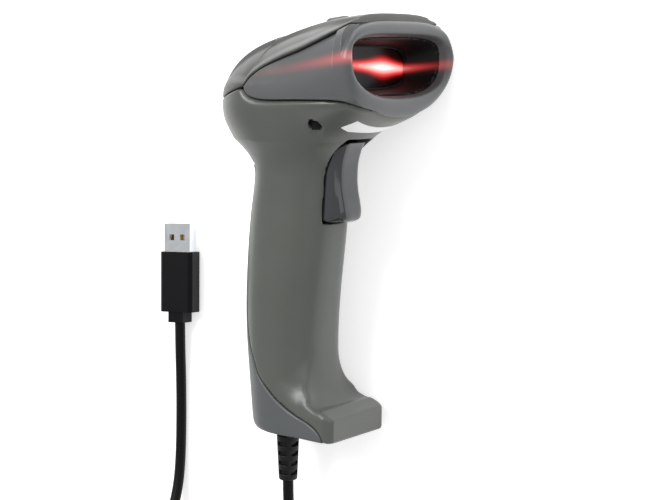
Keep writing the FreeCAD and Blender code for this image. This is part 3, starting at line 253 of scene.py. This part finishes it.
SIDE_LOW, SIDE_HIGH = (-30.0, -6.0), (56.0, 160.0)   # side view: forward, up
TOE_SIDE = ([(-2.0, -5.0), (30.0, -5.0), (30.4, 8.2)]
            + smooth_line([(25.0, 10.9), (22.0, 11.3), (18.6, 13.3), (15.6, 16.5), (13.6, 20.5),
                           (12.6, 25.0), (12.4, 31.0)])
            + [(-2.0, 31.0)])
TOE_PLAN = [(-2.5, 12.0), (13.0, 16.7), (27.0, 18.4), (30.6, 15.6)]
TOE_FRONT = [(18.4, -5.0), (18.4, 8.6), (17.0, 12.0), (14.1, 16.6), (10.1, 21.6), (5.9, 27.0),
             (2.5, 32.0)]
toe_side = Outline(TOE_SIDE, SIDE_LOW, (56.0, 60.0))
toe_plan = Outline(TOE_PLAN + [(x, -y) for x, y in TOE_PLAN[::-1]], (-30.0, -24.0), (56.0, 24.0))
toe_front = Outline(mirrored(TOE_FRONT), (-26.0, -6.0), (26.0, 60.0))

# seams between the casing pieces, in the side view
UPPER_SEAM = smooth_line([(-2.1, 127.5), (1.2, 131.2), (7.0, 134.6), (16.0, 138.0),
                          (23.4, 140.2), (32.0, 143.2), (40.0, 146.4), (46.4, 149.6)])
LOWER_SEAM = smooth_line([(-2.1, 127.5), (-0.6, 125.0), (2.6, 123.6), (8.6, 123.0),
                          (24.0, 123.3), (39.0, 123.2), (45.0, 121.6), (47.6, 119.8)])
REAR_SEAM = smooth_line([(-2.1, 127.5), (-9.0, 125.6), (-16.0, 123.6), (-30.0, 120.4)])
BACK_SEAM = smooth_line([(-8.6, 99.0), (-10.6, 84.0), (-12.2, 64.0), (-12.0, 48.0),
                         (-9.8, 34.0), (-6.8, 27.0), (-3.5, 20.8), (3.0, 14.5),
                         (8.5, 10.7), (14.0, 8.0), (20.0, 5.9), (25.0, 2.6), (27.5, -3.0)])
top_zone = Outline(UPPER_SEAM + [(46.4, 170.0), (-40.0, 170.0)] + REAR_SEAM[:0:-1],
                   SIDE_LOW, SIDE_HIGH)
nose_zone = Outline(UPPER_SEAM + [(46.4, 170.0), (70.0, 170.0), (70.0, 90.0), (47.6, 90.0)]
                    + LOWER_SEAM[:0:-1], SIDE_LOW, SIDE_HIGH)
rear_zone = Outline(BACK_SEAM + [(27.5, -10.0), (-40.0, -10.0), (-40.0, 99.0)],
                    SIDE_LOW, SIDE_HIGH)


def box_field(p, low, high, radius):
    """Box with rounded edges."""
    middle, half = (np.array(low) + high) / 2, (np.array(high) - low) / 2
    q = np.abs(p - middle) - half + radius
    return np.linalg.norm(np.maximum(q, 0.0), axis=1) + np.minimum(q.max(axis=1), 0.0) - radius


def rod_field(p, start, axis, length, radius):
    """Round rod from a start along an axis."""
    along = (p - start) @ np.array(axis, float)
    across = np.linalg.norm(p - start - along[:, None] * np.array(axis, float), axis=1)
    return np.maximum(across - radius, np.abs(along - length / 2) - length / 2)


RING_DROP = 2.6          # how far the nose ring's top lies below the cover
CLEAR_OF_TABLE = 0.02
NOSE_EDGE = 3.6          # how soft the nose's front edge is
TOE_BLEND, HEAD_BLEND = 4.5, 12.0    # how softly the handle runs into the toe and the head


def seam_height(p, seam):
    """Height above a seam, in the side view."""
    x, z = np.array(seam).T
    return p[:, 2] - np.interp(p[:, 0], x, z)


def recess(p, wing=False):
    """How far the casing's surface is let in, for its panels and hollows."""
    x, y, z = p.T
    side = np.abs(y)
    # raised middle panel of the top, with a hollow along each side of it
    panel = 16.5 - 4.0 * ramp(x, -24.0, 10.0) + 9.0 * ramp(x, 12.0, 46.0)
    above = seam_height(p, UPPER_SEAM)
    gully = ramp(side, panel - 0.5, panel + 1.2) * ramp(above, 0.8, 4.0) * ramp(x, -22.0, -6.0)
    deep = 1.6 * gully * ramp(z, 126.0, 130.0)
    # the nose ring's top lies lower than the cover behind it
    deep += RING_DROP * ramp(x, 45.9, 46.8) * ramp(z, 137.0, 147.0)
    if wing:
        # upper wing, leaning in towards the seam and ending in a step behind the nose ring
        deep += (1.4 * ramp(above, -15.0, -1.0) * ramp(x, 4.0, 20.0) * ramp(x, 42.4, 41.5)
                 * ramp(side, 18.0, 24.0))
    return deep


def toe(p, inset=0.0):
    """Forward toe, hollowed across its top."""
    x, y, z = p.T
    rise = 1.6 * ramp(z, 12.0, 16.0) * ramp(z, 28.0, 20.0) * np.minimum((y / 14.0) ** 2, 1.2)
    side = toe_side(x, z) - rise
    return smooth_max(smooth_max(side, toe_plan(x, y), 1.4), toe_front(y, z), 2.4) + inset


def base(x):
    """Height of the foot's underside: up at the heel, down at the toe."""
    return np.interp(x, (-20.0, -7.0, -2.0, 30.0), (1.5, 0.0, 0.0, -0.6))


def casing(p, wing=False):
    """The whole outside: head, handle and toe as one body."""
    x, z = p[:, 0], p[:, 2]
    top = smooth_max(head(p) + recess(p, wing), x - HEAD_FRONT, NOSE_EDGE)
    base_edge = 1.3 + 1.9 * ramp(x, 6.0, -8.0)
    grip = smooth_max(smooth_min(handle(p), toe(p), TOE_BLEND), base(x) - z, base_edge)
    table = CLEAR_OF_TABLE - p @ LAY_TURN[2] - LAY_SHIFT[2]
    return np.maximum(smooth_min(top, grip, HEAD_BLEND), table)


def hollow(p):
    """The space inside the casing."""
    x, z = p[:, 0], p[:, 2]
    grip = smooth_min(handle(p, WALL), toe(p, WALL + 0.4), 4.0)
    grip = np.maximum(grip, base(x) + WALL + 0.6 - z)
    inner_head = np.maximum(head(p, WALL + 1.5), x - HEAD_FRONT + NOSE_EDGE)
    return smooth_min(inner_head, grip, 4.0)


def seam_gap(surface):
    """Half the gap along a seam: open at the surface, nearly shut by the lip below it."""
    return LIP_GAP + (SEAM_GAP - LIP_GAP) * ramp(surface, -1.2, -0.7)


def outside(zone, p, surface):
    """The side of a seam away from its zone."""
    return seam_gap(surface) - zone(p[:, 0], p[:, 2])


def inside(zone, p, surface):
    """The side of a seam within its zone."""
    return seam_gap(surface) + zone(p[:, 0], p[:, 2])


EDGE = 0.8          # how soft the pieces' edges are along the seams
NOSE_LIP = 3.4      # and the main body's, along the nose bezel
HEAD_SCREWS = [(25.4, 20.0), (25.4, -20.0)]
HANDLE_SCREWS = ((46.0, -15.2), (86.0, -12.6))    # height, and where the head bears
WELL_RADIUS = 2.5   # of the holes over the screws
LENS_MIDDLE = 21.0

TRIGGER_SIDE = (smooth_line([(31.2, 108.0), (29.4, 105.6), (28.2, 102.6), (27.3, 99.0),
                             (27.0, 94.0), (27.3, 90.0), (28.1, 86.0), (28.6, 82.4),
                             (28.2, 79.6), (26.8, 78.5)])
                + [(22.0, 78.5), (17.6, 79.2), (17.0, 86.0), (17.0, 103.0),
                   (18.4, 106.2), (20.8, 107.2), (25.5, 108.2)])
TRIGGER_HALF, TRIGGER_GAP = 7.5, 0.3
TRIGGER_PIVOT = (20.5, 103.5)
trigger_side = Outline(TRIGGER_SIDE, (10.0, 70.0), (36.0, 114.0), 0.1)
SLOT_SIDE = [(10.0, 77.9), (42.0, 77.9), (42.0, 109.0), (31.4, 108.7), (25.4, 108.9),
             (20.5, 107.9), (17.6, 106.6), (16.0, 104.0), (10.0, 103.0)]
slot_side = Outline(SLOT_SIDE, (6.0, 70.0), (46.0, 116.0))


def main_body(p):
    """Handle and lower head, with the trigger's slot and the two holes under the head."""
    surface = casing(p)
    solid = smooth_max(surface, outside(top_zone, p, surface), EDGE)
    solid = smooth_max(solid, outside(nose_zone, p, surface), NOSE_LIP)
    solid = smooth_max(solid, outside(rear_zone, p, surface), EDGE)
    beside = np.abs(p[:, 1]) - TRIGGER_HALF - TRIGGER_GAP
    slot = smooth_max(slot_side(p[:, 0], p[:, 2]), beside, 1.2)
    solid = smooth_max(solid, -slot, 0.5)
    for x, y in HEAD_SCREWS:
        solid = smooth_max(solid, -rod_field(p, (x, y, 96.0), (0, 0, 1), 22.0, WELL_RADIUS), 0.6)
    return np.maximum(solid, -hollow(p))


def top_cover(p):
    """Top of the head, with the status lens's slot."""
    surface = casing(p)
    solid = smooth_max(surface, inside(top_zone, p, surface), EDGE)
    slot = box_field(p, (LENS_MIDDLE - 5.0, -2.6, 138.0), (LENS_MIDDLE + 5.0, 2.6, 170.0), 2.0)
    return np.maximum(smooth_max(solid, -slot, 0.5), -hollow(p))


WINDOW_FRONT = 34.5     # where the nose's opening ends, at the window
FUNNEL_STEP = 45.0      # where the black inner frame starts


def funnel(p, grow=0.0):
    """Opening in the nose: wide at the mouth, narrow at the window."""
    x, y, z = p.T
    share = np.clip((x - WINDOW_FRONT) / (HEAD_FRONT - WINDOW_FRONT), 0.0, 1.2)
    half = 23.4 + 7.2 * share + grow
    line = 134.2 + 3.8 * share
    above, below = 7.6 - 0.1 * share + grow, 7.6 + 6.2 * share + grow
    upper = z > line
    ratio, slope = superellipse(y, z - line, half, np.where(upper, above, below),
                                np.where(upper, 3.6, 3.4 - 1.1 * share))
    return (ratio - 1.0) / np.maximum(slope, 1e-4)


def nose_bezel(p):
    """Ring around the opening with its two side wings."""
    x = p[:, 0]
    closed = WINDOW_FRONT - 0.1 - x
    surface = casing(p, True)
    solid = smooth_max(surface, inside(nose_zone, p, surface), EDGE)
    opening = np.maximum(funnel(p, 0.55 * (x > FUNNEL_STEP)), closed)
    solid = smooth_max(solid, -opening, 2.2)
    space = np.maximum(np.maximum(head(p, WALL + 1.6), x - 46.4),
                       -np.maximum(funnel(p, 1.6), closed))
    return np.maximum(solid, -space)


def rear_cover(p):
    """Back of the handle and the base, with the cord's hole and the screws' wells."""
    surface = casing(p)
    solid = smooth_max(surface, inside(rear_zone, p, surface), EDGE)
    solid = smooth_max(solid, -rod_field(p, (RELIEF_FORWARD, 0, -3), (0, 0, 1), 8.0, 4.3), 0.5)
    for z, seat in HANDLE_SCREWS:
        well = rod_field(p, (-24.0, 0, z), (1, 0, 0), seat + 24.0, WELL_RADIUS)
        solid = smooth_max(solid, -well, 0.6)
    return np.maximum(solid, -hollow(p))


def status_lens(p):
    """Small oval light pipe that stands proud of the top panel."""
    x, y, z = p.T
    side = np.hypot(np.maximum(np.abs(x - LENS_MIDDLE) - 2.4, 0.0), y) - 2.4
    return smooth_max(smooth_max(side, z - 152.4 - 0.12 * (x - LENS_MIDDLE), 1.8), 145.0 - z, 0.5)


def trigger(p):
    """Trigger lever with a slightly hollow face, bored for its pin."""
    x, y, z = p.T
    middle = 1.0 - ramp(np.abs(y), 2.0, 6.0)
    hollow_face = 0.5 * middle * ramp(z, 80.0, 84.0) * ramp(x, 22.0, 25.0)
    softness = 1.0 + 5.0 * ramp(x, 20.5, 25.5)
    solid = smooth_max(trigger_side(x, z) + hollow_face, np.abs(y) - TRIGGER_HALF, softness)
    bore = rod_field(p, (TRIGGER_PIVOT[0], -12, TRIGGER_PIVOT[1]), (0, 1, 0), 24.0, 1.6)
    solid = smooth_max(solid, -bore, 0.2)
    # pocket that the return spring stands in, with room for the whole pull
    return smooth_max(solid, -rod_field(p, (15.0, 0, 84.0), (1, 0, 0), 4.8, 3.2), 0.3)


RELIEF_FORWARD, RELIEF_LENGTH = -2.3, 21.5
RELIEF_PITCH, RELIEF_ROWS = 3.7, 5


def strain_relief(p):
    """Tapered sleeve with rows of four notches."""
    x, y, z = p.T
    x = x - RELIEF_FORWARD
    radius = np.interp(z, (-RELIEF_LENGTH, 0.0), (3.5, 4.45))
    solid = smooth_max(np.hypot(x, y) - radius, -RELIEF_LENGTH - z, 1.0)
    level = (-z - 1.6) / RELIEF_PITCH
    row = np.clip(np.floor(level), 0, RELIEF_ROWS - 1)
    height = np.abs(level - row - 0.5) * RELIEF_PITCH
    facing, other = np.maximum(np.abs(x), np.abs(y)), np.minimum(np.abs(x), np.abs(y))
    notch = np.maximum(height - 0.75, np.maximum(radius - 1.5 - facing, other - 2.0))
    return np.maximum(smooth_max(solid, -notch, 0.5), z - 1.0)


# ---------------------------------------------------------------- surface from a field
COARSE = 4              # fine steps in each coarse one
BATCH = 400000          # points worked out at once
CORNERS = [(i, j, k) for i in (0, 1) for j in (0, 1) for k in (0, 1)]


def net(field, low, high, step):
    """Closed surface mesh of a field's zero level, as points and four-sided faces."""
    low = np.array(low, float)
    blocks = np.ceil((np.array(high) - low) / (step * COARSE)).astype(int)
    rough = [low[i] + step * COARSE * np.arange(blocks[i] + 1) for i in range(3)]
    spots = np.stack(np.meshgrid(*rough, indexing="ij"), -1).reshape(-1, 3)
    coarse = field(spots).reshape(blocks + 1)
    nearest = np.full(blocks, np.inf)
    for i, j, k in CORNERS:
        corner = coarse[i:i + blocks[0], j:j + blocks[1], k:k + blocks[2]]
        nearest = np.minimum(nearest, np.abs(corner))
    near = nearest < step * COARSE * 1.9
    for axis in range(3):
        near = near.repeat(COARSE, axis)
    values = coarse[:-1, :-1, :-1]
    for axis in range(3):
        values = values.repeat(COARSE, axis)
    wanted = near.copy()
    for axis in range(3):
        wanted |= np.roll(wanted, 1, axis)
    index = np.argwhere(wanted)
    for chosen in np.array_split(index, max(1, len(index) // BATCH)):
        values[tuple(chosen.T)] = field(low + chosen * step)
    below = values < 0.0
    cells = np.zeros(np.array(values.shape) - 1, int)
    size = cells.shape
    for i, j, k in CORNERS:
        cells += below[i:i + size[0], j:j + size[1], k:k + size[2]]
    active = np.argwhere((cells > 0) & (cells < 8))
    number = np.full(size, -1)
    number[tuple(active.T)] = np.arange(len(active))
    total, weight = np.zeros((len(active), 3)), np.zeros(len(active))
    for a in CORNERS:
        for axis in range(3):
            if a[axis]:
                continue
            b = list(a)
            b[axis] = 1
            va, vb = values[tuple((active + a).T)], values[tuple((active + b).T)]
            crosses = (va < 0) != (vb < 0)
            share = np.where(crosses, va / np.where(crosses, va - vb, 1.0), 0.0)
            place = np.array(a, float) + share[:, None] * (np.array(b) - a)
            total += place * crosses[:, None]
            weight += crosses
    points = low + (active + total / weight[:, None]) * step
    faces = []
    for axis in range(3):
        one, two = [a for a in range(3) if a != axis]
        ends = [slice(1, -1)] * 3
        ends[axis] = slice(0, -1)
        ahead = [slice(1, -1)] * 3
        ahead[axis] = slice(1, None)
        start, end = below[tuple(ends)], below[tuple(ahead)]
        at = np.argwhere(start != end)
        at[:, one] += 1
        at[:, two] += 1
        ring = []
        for u, v in ((-1, -1), (0, -1), (0, 0), (-1, 0)):
            shifted = at.copy()
            shifted[:, one] += u
            shifted[:, two] += v
            ring.append(number[tuple(shifted.T)])
        ring = np.stack(ring, 1)
        leaving = below[tuple(at.T)]
        flip = leaving if axis == 1 else ~leaving
        ring[flip] = ring[flip][:, ::-1]
        faces.append(ring)
    return points, np.concatenate(faces)


def slope_of(field, points, reach=0.04):
    """A field's gradient."""
    parts = []
    for axis in range(3):
        move = np.zeros(3)
        move[axis] = reach
        parts.append((field(points + move) - field(points - move)) / (2 * reach))
    return np.stack(parts, 1)


def settle(field, points, step, rounds=2):
    """Moves points on to the field's zero level."""
    for _ in range(rounds):
        slope = slope_of(field, points)
        steep = np.maximum((slope ** 2).sum(1), 0.2)
        move = -slope * (field(points) / steep)[:, None]
        length = np.linalg.norm(move, axis=1)
        points = points + move * np.minimum(1.0, 0.6 * step / np.maximum(length, 1e-9))[:, None]
    return points


def add_piece(name, points, faces):
    """Object with a mesh of four-sided faces."""
    mesh = bpy.data.meshes.new(name)
    mesh.vertices.add(len(points))
    mesh.vertices.foreach_set("co", np.asarray(points, np.float32).ravel())
    mesh.loops.add(faces.size)
    mesh.loops.foreach_set("vertex_index", faces.ravel().astype(np.int32))
    mesh.polygons.add(len(faces))
    mesh.polygons.foreach_set("loop_start", np.arange(0, faces.size, 4, dtype=np.int32))
    mesh.polygons.foreach_set("loop_total", np.full(len(faces), 4, np.int32))
    mesh.update(calc_edges=True)
    mesh.validate()
    piece = bpy.data.objects.new(name, mesh)
    bpy.context.scene.collection.objects.link(piece)
    return piece


def mould(name, field, low, high, step, node, body="housing"):
    """One moulded piece in place of its CAD node."""
    points, faces = net(field, low, high, step)
    points = settle(field, points, step)
    normals = slope_of(field, points)
    normals /= np.maximum(np.linalg.norm(normals, axis=1), 1e-9)[:, None]
    piece = add_piece(name, to_row(points), faces)
    piece.data.polygons.foreach_set("use_smooth", np.ones(len(faces), bool))
    piece.data.normals_split_custom_set_from_vertices((normals @ LAY_TURN.T).tolist())
    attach(piece, body)
    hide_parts(node)
    return piece


casing_pieces = {}
for name, field, low, high, step in [
        ("main_body_shell", main_body, (-27, -36, -1.5), (54, 36, 141), 0.8),
        ("top_cover_shell", top_cover, (-27, -36, 116), (49, 36, 156), 0.6),
        ("nose_bezel_shell", nose_bezel, (-5, -37, 102), (53, 37, 156), 0.6),
        ("rear_cover_shell", rear_cover, (-20, -20, -1.5), (33, 20, 101), 0.6),
        ("status_lens_shell", status_lens, (14, -4, 143), (28, 4, 154), 0.25),
        ("strain_relief_shell", strain_relief, (-8, -6, -23), (4, 6, 2.5), 0.25)]:
    casing_pieces[name] = mould(name, field, low, high, step, name.replace("_shell", ""))
trigger_piece = mould("trigger_lever", trigger, (14, -10, 76), (33, 10, 110.5), 0.4, "trigger",
                      "trigger_body")


# ---------------------------------------------------------------- materials
def srgb(red, green, blue):
    """Colour given as 0 to 255 on screen, as linear light."""
    def linear(value):
        value /= 255.0
        return value / 12.92 if value <= 0.04045 else ((value + 0.055) / 1.055) ** 2.4
    return (linear(red), linear(green), linear(blue), 1.0)


class Recipe:
    """A material and short ways of adding nodes to it."""

    def __init__(self, name):
        self.material = bpy.data.materials.new(name)
        self.material.use_nodes = True
        self.tree = self.material.node_tree
        self.shader = self.tree.nodes["Principled BSDF"]
        self.place = self.add("ShaderNodeTexCoord").outputs["Object"]

    def add(self, kind, **settings):
        node = self.tree.nodes.new(kind)
        for name, value in settings.items():
            setattr(node, name, value)
        return node

    def link(self, source, target):
        self.tree.links.new(source, target)

    def noise(self, per_metre, detail=3.0, roughness=0.55):
        node = self.add("ShaderNodeTexNoise")
        node.inputs["Scale"].default_value = per_metre
        node.inputs["Detail"].default_value = detail
        node.inputs["Roughness"].default_value = roughness
        self.link(self.place, node.inputs["Vector"])
        return node.outputs["Fac"]

    def spread(self, source, low, high, start=0.3, end=0.7):
        """The source's range from start to end, stretched over low to high."""
        node = self.add("ShaderNodeMapRange")
        for name, value in zip(("From Min", "From Max", "To Min", "To Max"),
                               (start, end, low, high)):
            node.inputs[name].default_value = value
        self.link(source, node.inputs["Value"])
        return node.outputs["Result"]

    def mix(self, share, first, second):
        node = self.add("ShaderNodeMix", data_type="RGBA")
        self.link(share, node.inputs["Factor"])
        for socket, value in ((node.inputs["A"], first), (node.inputs["B"], second)):
            if isinstance(value, tuple):
                socket.default_value = value
            else:
                self.link(value, socket)
        return node.outputs["Result"]

    def bump(self, height, strength, distance):
        node = self.add("ShaderNodeBump")
        node.inputs["Strength"].default_value = strength
        node.inputs["Distance"].default_value = distance
        self.link(height, node.inputs["Height"])
        self.link(node.outputs["Normal"], self.shader.inputs["Normal"])


def plastic(name, colour, rough=0.42, grain=2600.0, grain_depth=0.00003, vary=0.05,
            rough_vary=0.05, coat=0.0, specular=0.5):
    """Moulded plastic: faint flow shading, fine grain and rubbed, glossier patches."""
    recipe = Recipe(name)
    dark = tuple(c * (1.0 - vary) for c in colour[:3]) + (1.0,)
    light = tuple(min(1.0, c * (1.0 + vary)) for c in colour[:3]) + (1.0,)
    flow = recipe.noise(32.0, 4.0)
    recipe.link(recipe.mix(recipe.spread(flow, 0.0, 1.0), dark, light),
                recipe.shader.inputs["Base Color"])
    rubbed = recipe.noise(90.0, 5.0, 0.65)
    recipe.link(recipe.spread(rubbed, rough - rough_vary, rough + rough_vary),
                recipe.shader.inputs["Roughness"])
    recipe.bump(recipe.noise(grain, 2.0), 0.35, grain_depth)
    recipe.shader.inputs["Specular IOR Level"].default_value = specular
    recipe.shader.inputs["Coat Weight"].default_value = coat
    return recipe.material


def metal(name, colour, rough, scratch=0.00001):
    """Plated metal with fine handling marks."""
    recipe = Recipe(name)
    recipe.shader.inputs["Metallic"].default_value = 1.0
    dark = tuple(c * 0.9 for c in colour[:3]) + (1.0,)
    recipe.link(recipe.mix(recipe.spread(recipe.noise(160.0, 4.0), 0.0, 1.0), dark, colour),
                recipe.shader.inputs["Base Color"])
    recipe.link(recipe.spread(recipe.noise(420.0, 5.0, 0.7), rough - 0.06, rough + 0.08),
                recipe.shader.inputs["Roughness"])
    recipe.bump(recipe.noise(1500.0, 3.0), 0.3, scratch)
    return recipe.material


BODY = plastic("body_grey", srgb(80, 83, 78), 0.33)
COVER = plastic("cover_grey", srgb(74, 76, 73), 0.40)
BEZEL = plastic("bezel_grey", srgb(84, 86, 87), 0.34)
REAR = plastic("rear_grey", srgb(81, 84, 85), 0.40)
TRIGGER = plastic("trigger_grey", srgb(38, 40, 44), 0.16, coat=0.6, vary=0.03)
# near-black: own colour of the window gasket, light shroud and the nose's inner frame, and
# painted shade inside the two holes under the head
INNER_BLACK_AND_WELL_SHADE = plastic("inner_black_and_well_shade", srgb(14, 14, 15), 0.5, specular=0.25)
BLACK = plastic("black_plastic", srgb(26, 26, 28), 0.45)
RELIEF = plastic("relief_black", srgb(10, 9, 10), 0.5, specular=0.3)
PLUG = plastic("plug_black", srgb(8, 7, 10), 0.4, specular=0.15)
CORD = plastic("cord_black", srgb(8, 8, 9), 0.45, grain=1400.0, specular=0.15)
STEEL = metal("plug_steel", srgb(222, 226, 230), 0.18)
SCREW = metal("screw_steel", srgb(150, 152, 155), 0.3)
GOLD = metal("contact_gold", srgb(225, 180, 90), 0.2)
COPPER = metal("coil_copper", srgb(190, 105, 60), 0.3)
WHITE = plastic("insulator_white", srgb(232, 234, 236), 0.4)
GREEN = plastic("board_green", srgb(24, 82, 48), 0.4, grain=900.0)
CHIP = plastic("chip_black", srgb(30, 31, 33), 0.5)
LABEL = plastic("label_white", srgb(244, 244, 244), 0.45, grain=1800.0)
LENS = plastic("lens_grey", srgb(96, 99, 97), 0.2, coat=0.5)
WINDOW = plastic("window_black", srgb(12, 5, 6), 0.2, specular=0.15)

node_materials = {
    "window_gasket": INNER_BLACK_AND_WELL_SHADE, "scan_window": WINDOW, "light_shroud": INNER_BLACK_AND_WELL_SHADE,
    "laser_label": LABEL, "trigger_pin": SCREW, "trigger_spring": SCREW,
    "decoder_board": GREEN, "board_chips": CHIP, "beeper": CHIP, "switch_housing": CHIP,
    "switch_plunger": BLACK, "cable_jack": BLACK, "modular_plug": WHITE,
    "engine_frame": SCREW, "mirror_shaft": SCREW, "mirror_carrier": BLACK,
    "scan_mirror": STEEL, "drive_magnet": SCREW, "coil_bobbin": BLACK, "drive_coil": COPPER,
    "laser_module": GOLD, "laser_lens": WINDOW, "collector_mirror": STEEL,
    "engine_board": GREEN, "photodiode": CHIP, "status_led": WHITE, "ribbon_cable": WHITE,
    "head_screws": SCREW, "handle_screws": SCREW, "engine_screws": SCREW,
    "board_screws": SCREW, "cable_tie": BLACK, "plug_housing": PLUG, "plug_shell": STEEL,
    "plug_insulator": WHITE, "plug_contacts": GOLD,
}


def paint(piece, *materials):
    """Gives a piece its materials, the first of them on every face."""
    piece.data.materials.clear()
    for material in materials:
        piece.data.materials.append(material)


def paint_part(piece, number, test):
    """Gives the faces whose middle passes the test another of the piece's materials."""
    count = len(piece.data.polygons)
    middles = np.zeros(count * 3)
    piece.data.polygons.foreach_get("center", middles)
    upright = (middles.reshape(-1, 3) / MM - LAY_SHIFT) @ LAY_TURN
    numbers = np.where(test(upright), number, 0).astype(np.int32)
    piece.data.polygons.foreach_set("material_index", numbers)


def inner_frame(p):
    """The black part of the nose's opening."""
    return (p[:, 0] < FUNNEL_STEP + 0.7) & (funnel(p) < 1.5) & (p[:, 0] > 34.0)


def painted_well_shade(p):
    """Inside the two holes under the head, where near-black paint stands for their shade."""
    reach = [np.hypot(p[:, 0] - x, p[:, 1] - y) for x, y in HEAD_SCREWS]
    return (np.minimum(*reach) < WELL_RADIUS + 0.25) & (p[:, 2] < 122.0) & (casing(p) < -1.1)


for node, material in node_materials.items():
    paint(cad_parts[node], material)
for name, material, slot in [
        ("main_body_shell", BODY, "body_plastic"), ("top_cover_shell", COVER, "cover_plastic"),
        ("nose_bezel_shell", BEZEL, "bezel_plastic"), ("rear_cover_shell", REAR, "cover_plastic"),
        ("status_lens_shell", LENS, "body_plastic"),
        ("strain_relief_shell", RELIEF, "black_plastic")]:
    paint(casing_pieces[name], material)
paint(casing_pieces["nose_bezel_shell"], BEZEL, INNER_BLACK_AND_WELL_SHADE)
paint_part(casing_pieces["nose_bezel_shell"], 1, inner_frame)
# the insides of the two holes under the head are painted near-black as painted shade
paint(casing_pieces["main_body_shell"], BODY, INNER_BLACK_AND_WELL_SHADE)
paint_part(casing_pieces["main_body_shell"], 1, painted_well_shade)
paint(trigger_piece, TRIGGER)

paint(cord, CORD)
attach(cord, "housing")
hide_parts("cord_lead", "cord_tail", "cord_coil")

# ---------------------------------------------------------------- floor and light
FLOOR_HALF = 3.0
FLOOR_CORNERS = [(-1, -1), (1, -1), (1, 1), (-1, 1)]
floor_mesh = bpy.data.meshes.new("floor")
floor_mesh.from_pydata([(x * FLOOR_HALF, y * FLOOR_HALF, 0) for x, y in FLOOR_CORNERS],
                       [], [(0, 1, 2, 3)])
floor = bpy.data.objects.new("floor", floor_mesh)
bpy.context.scene.collection.objects.link(floor)
floor_recipe = Recipe("floor_pale")
floor_recipe.shader.inputs["Base Color"].default_value = (0.9, 0.9, 0.9, 1.0)
floor_recipe.shader.inputs["Roughness"].default_value = 0.9
floor_recipe.shader.inputs["Specular IOR Level"].default_value = 0.1
floor_recipe.shader.inputs["Emission Color"].default_value = (1.0, 1.0, 1.0, 1.0)
floor_recipe.shader.inputs["Emission Strength"].default_value = 0.5
paint(floor, floor_recipe.material)

world = bpy.data.worlds.new("studio")
bpy.context.scene.world = world
world.use_nodes = True
sky = world.node_tree.nodes["Background"]
sky.inputs["Color"].default_value = (1.0, 1.0, 1.0, 1.0)
sky.inputs["Strength"].default_value = 0.62


LIGHT_TARGET, LIGHT_DISTANCE = Vector((0.0, 0.0, 0.03)), 0.9


def soft_light(name, direction, power, wide):
    """Square area light that looks at the object from a direction."""
    data = bpy.data.lights.new(name, "AREA")
    data.shape = "SQUARE"
    data.size = wide
    data.energy = power
    light = bpy.data.objects.new(name, data)
    bpy.context.scene.collection.objects.link(light)
    back = Vector(direction).normalized()
    light.matrix_world = (Matrix.Translation(LIGHT_TARGET + back * LIGHT_DISTANCE)
                          @ back.to_track_quat("Z", "Y").to_matrix().to_4x4())


GLOW_AT = (33.7, 10.0, 134.2)        # brightest spot of the scan line, on the window
GLOW_UP = (-0.131, 0.047, 1.0)       # across the line, in the scanner's own axes
GLOW_ALONG = (0.811, 0.585, 0.0)     # along it
GLOW_SHADES = [(0.0, (0.0, 0.0, 0.0)), (0.1, (0.025, 0.0, 0.0)), (0.25, (0.25, 0.006, 0.006)),
               (0.55, (0.85, 0.07, 0.07)), (0.85, (1.0, 0.5, 0.46)), (1.0, (1.0, 0.95, 0.92))]


def add_glow(material, strength, thin=1.6, core=6.0, fade=13.0):
    """Red light of the scan line on a surface: thick and white at its middle, fading out."""
    tree = material.node_tree
    shader = tree.nodes["Principled BSDF"]
    place = tree.nodes.new("ShaderNodeTexCoord").outputs["Object"]

    def maths(operation, *values):
        node = tree.nodes.new("ShaderNodeMath")
        node.operation = operation
        for socket, value in zip(node.inputs, values):
            if isinstance(value, float):
                socket.default_value = value
            else:
                tree.links.new(value, socket)
        return node.outputs["Value"]

    def squared_distance(direction, reach):
        """Square of the distance from the spot along a direction, in units of reach."""
        shift = tree.nodes.new("ShaderNodeVectorMath")
        shift.operation = "SUBTRACT"
        shift.inputs[1].default_value = tuple(to_row([GLOW_AT])[0])
        dot = tree.nodes.new("ShaderNodeVectorMath")
        dot.operation = "DOT_PRODUCT"
        dot.inputs[1].default_value = tuple(LAY_TURN @ np.array(direction) / (reach * MM))
        tree.links.new(place, shift.inputs[0])
        tree.links.new(shift.outputs["Vector"], dot.inputs[0])
        return maths("MULTIPLY", dot.outputs["Value"], dot.outputs["Value"])

    middle = maths("DIVIDE", 1.0, maths("ADD", 1.0, squared_distance(GLOW_ALONG, core)))
    thickness = maths("ADD", 1.0, maths("MULTIPLY", 3.0, maths("MULTIPLY", middle, middle)))
    height = maths("DIVIDE", squared_distance(GLOW_UP, thin), thickness)
    falling = maths("ADD", 1.0, squared_distance(GLOW_ALONG, fade))
    level = maths("DIVIDE", maths("EXPONENT", maths("MULTIPLY", height, -1.0)), falling)
    shades = tree.nodes.new("ShaderNodeValToRGB")
    ends = shades.color_ramp.elements
    for (position, shade), element in zip((GLOW_SHADES[0], GLOW_SHADES[-1]), ends):
        element.position = position
        element.color = (*shade, 1.0)
    for position, shade in GLOW_SHADES[1:-1]:
        ends.new(position).color = (*shade, 1.0)
    tree.links.new(level, shades.inputs["Fac"])
    tree.links.new(shades.outputs["Color"], shader.inputs["Emission Color"])
    shader.inputs["Emission Strength"].default_value = strength


add_glow(WINDOW, 1.2)
add_glow(INNER_BLACK_AND_WELL_SHADE, 0.6, core=4.0)
add_glow(BEZEL, 0.5, thin=2.3, core=3.0, fade=18.0)


def view_way(right, up, back):
    """Direction given along the camera's own axes."""
    return CAMERA_RIGHT * right + CAMERA_UP * up + CAMERA_BACK * back


soft_light("key", view_way(-0.75, 0.45, 0.55), 5.0, 0.4)
soft_light("fill", view_way(0.3, 0.2, 0.9), 1.2, 0.7)
soft_light("top", view_way(-0.1, 1.0, 0.35), 2.0, 0.5)
bpy.context.scene.view_settings.view_transform = "Standard"
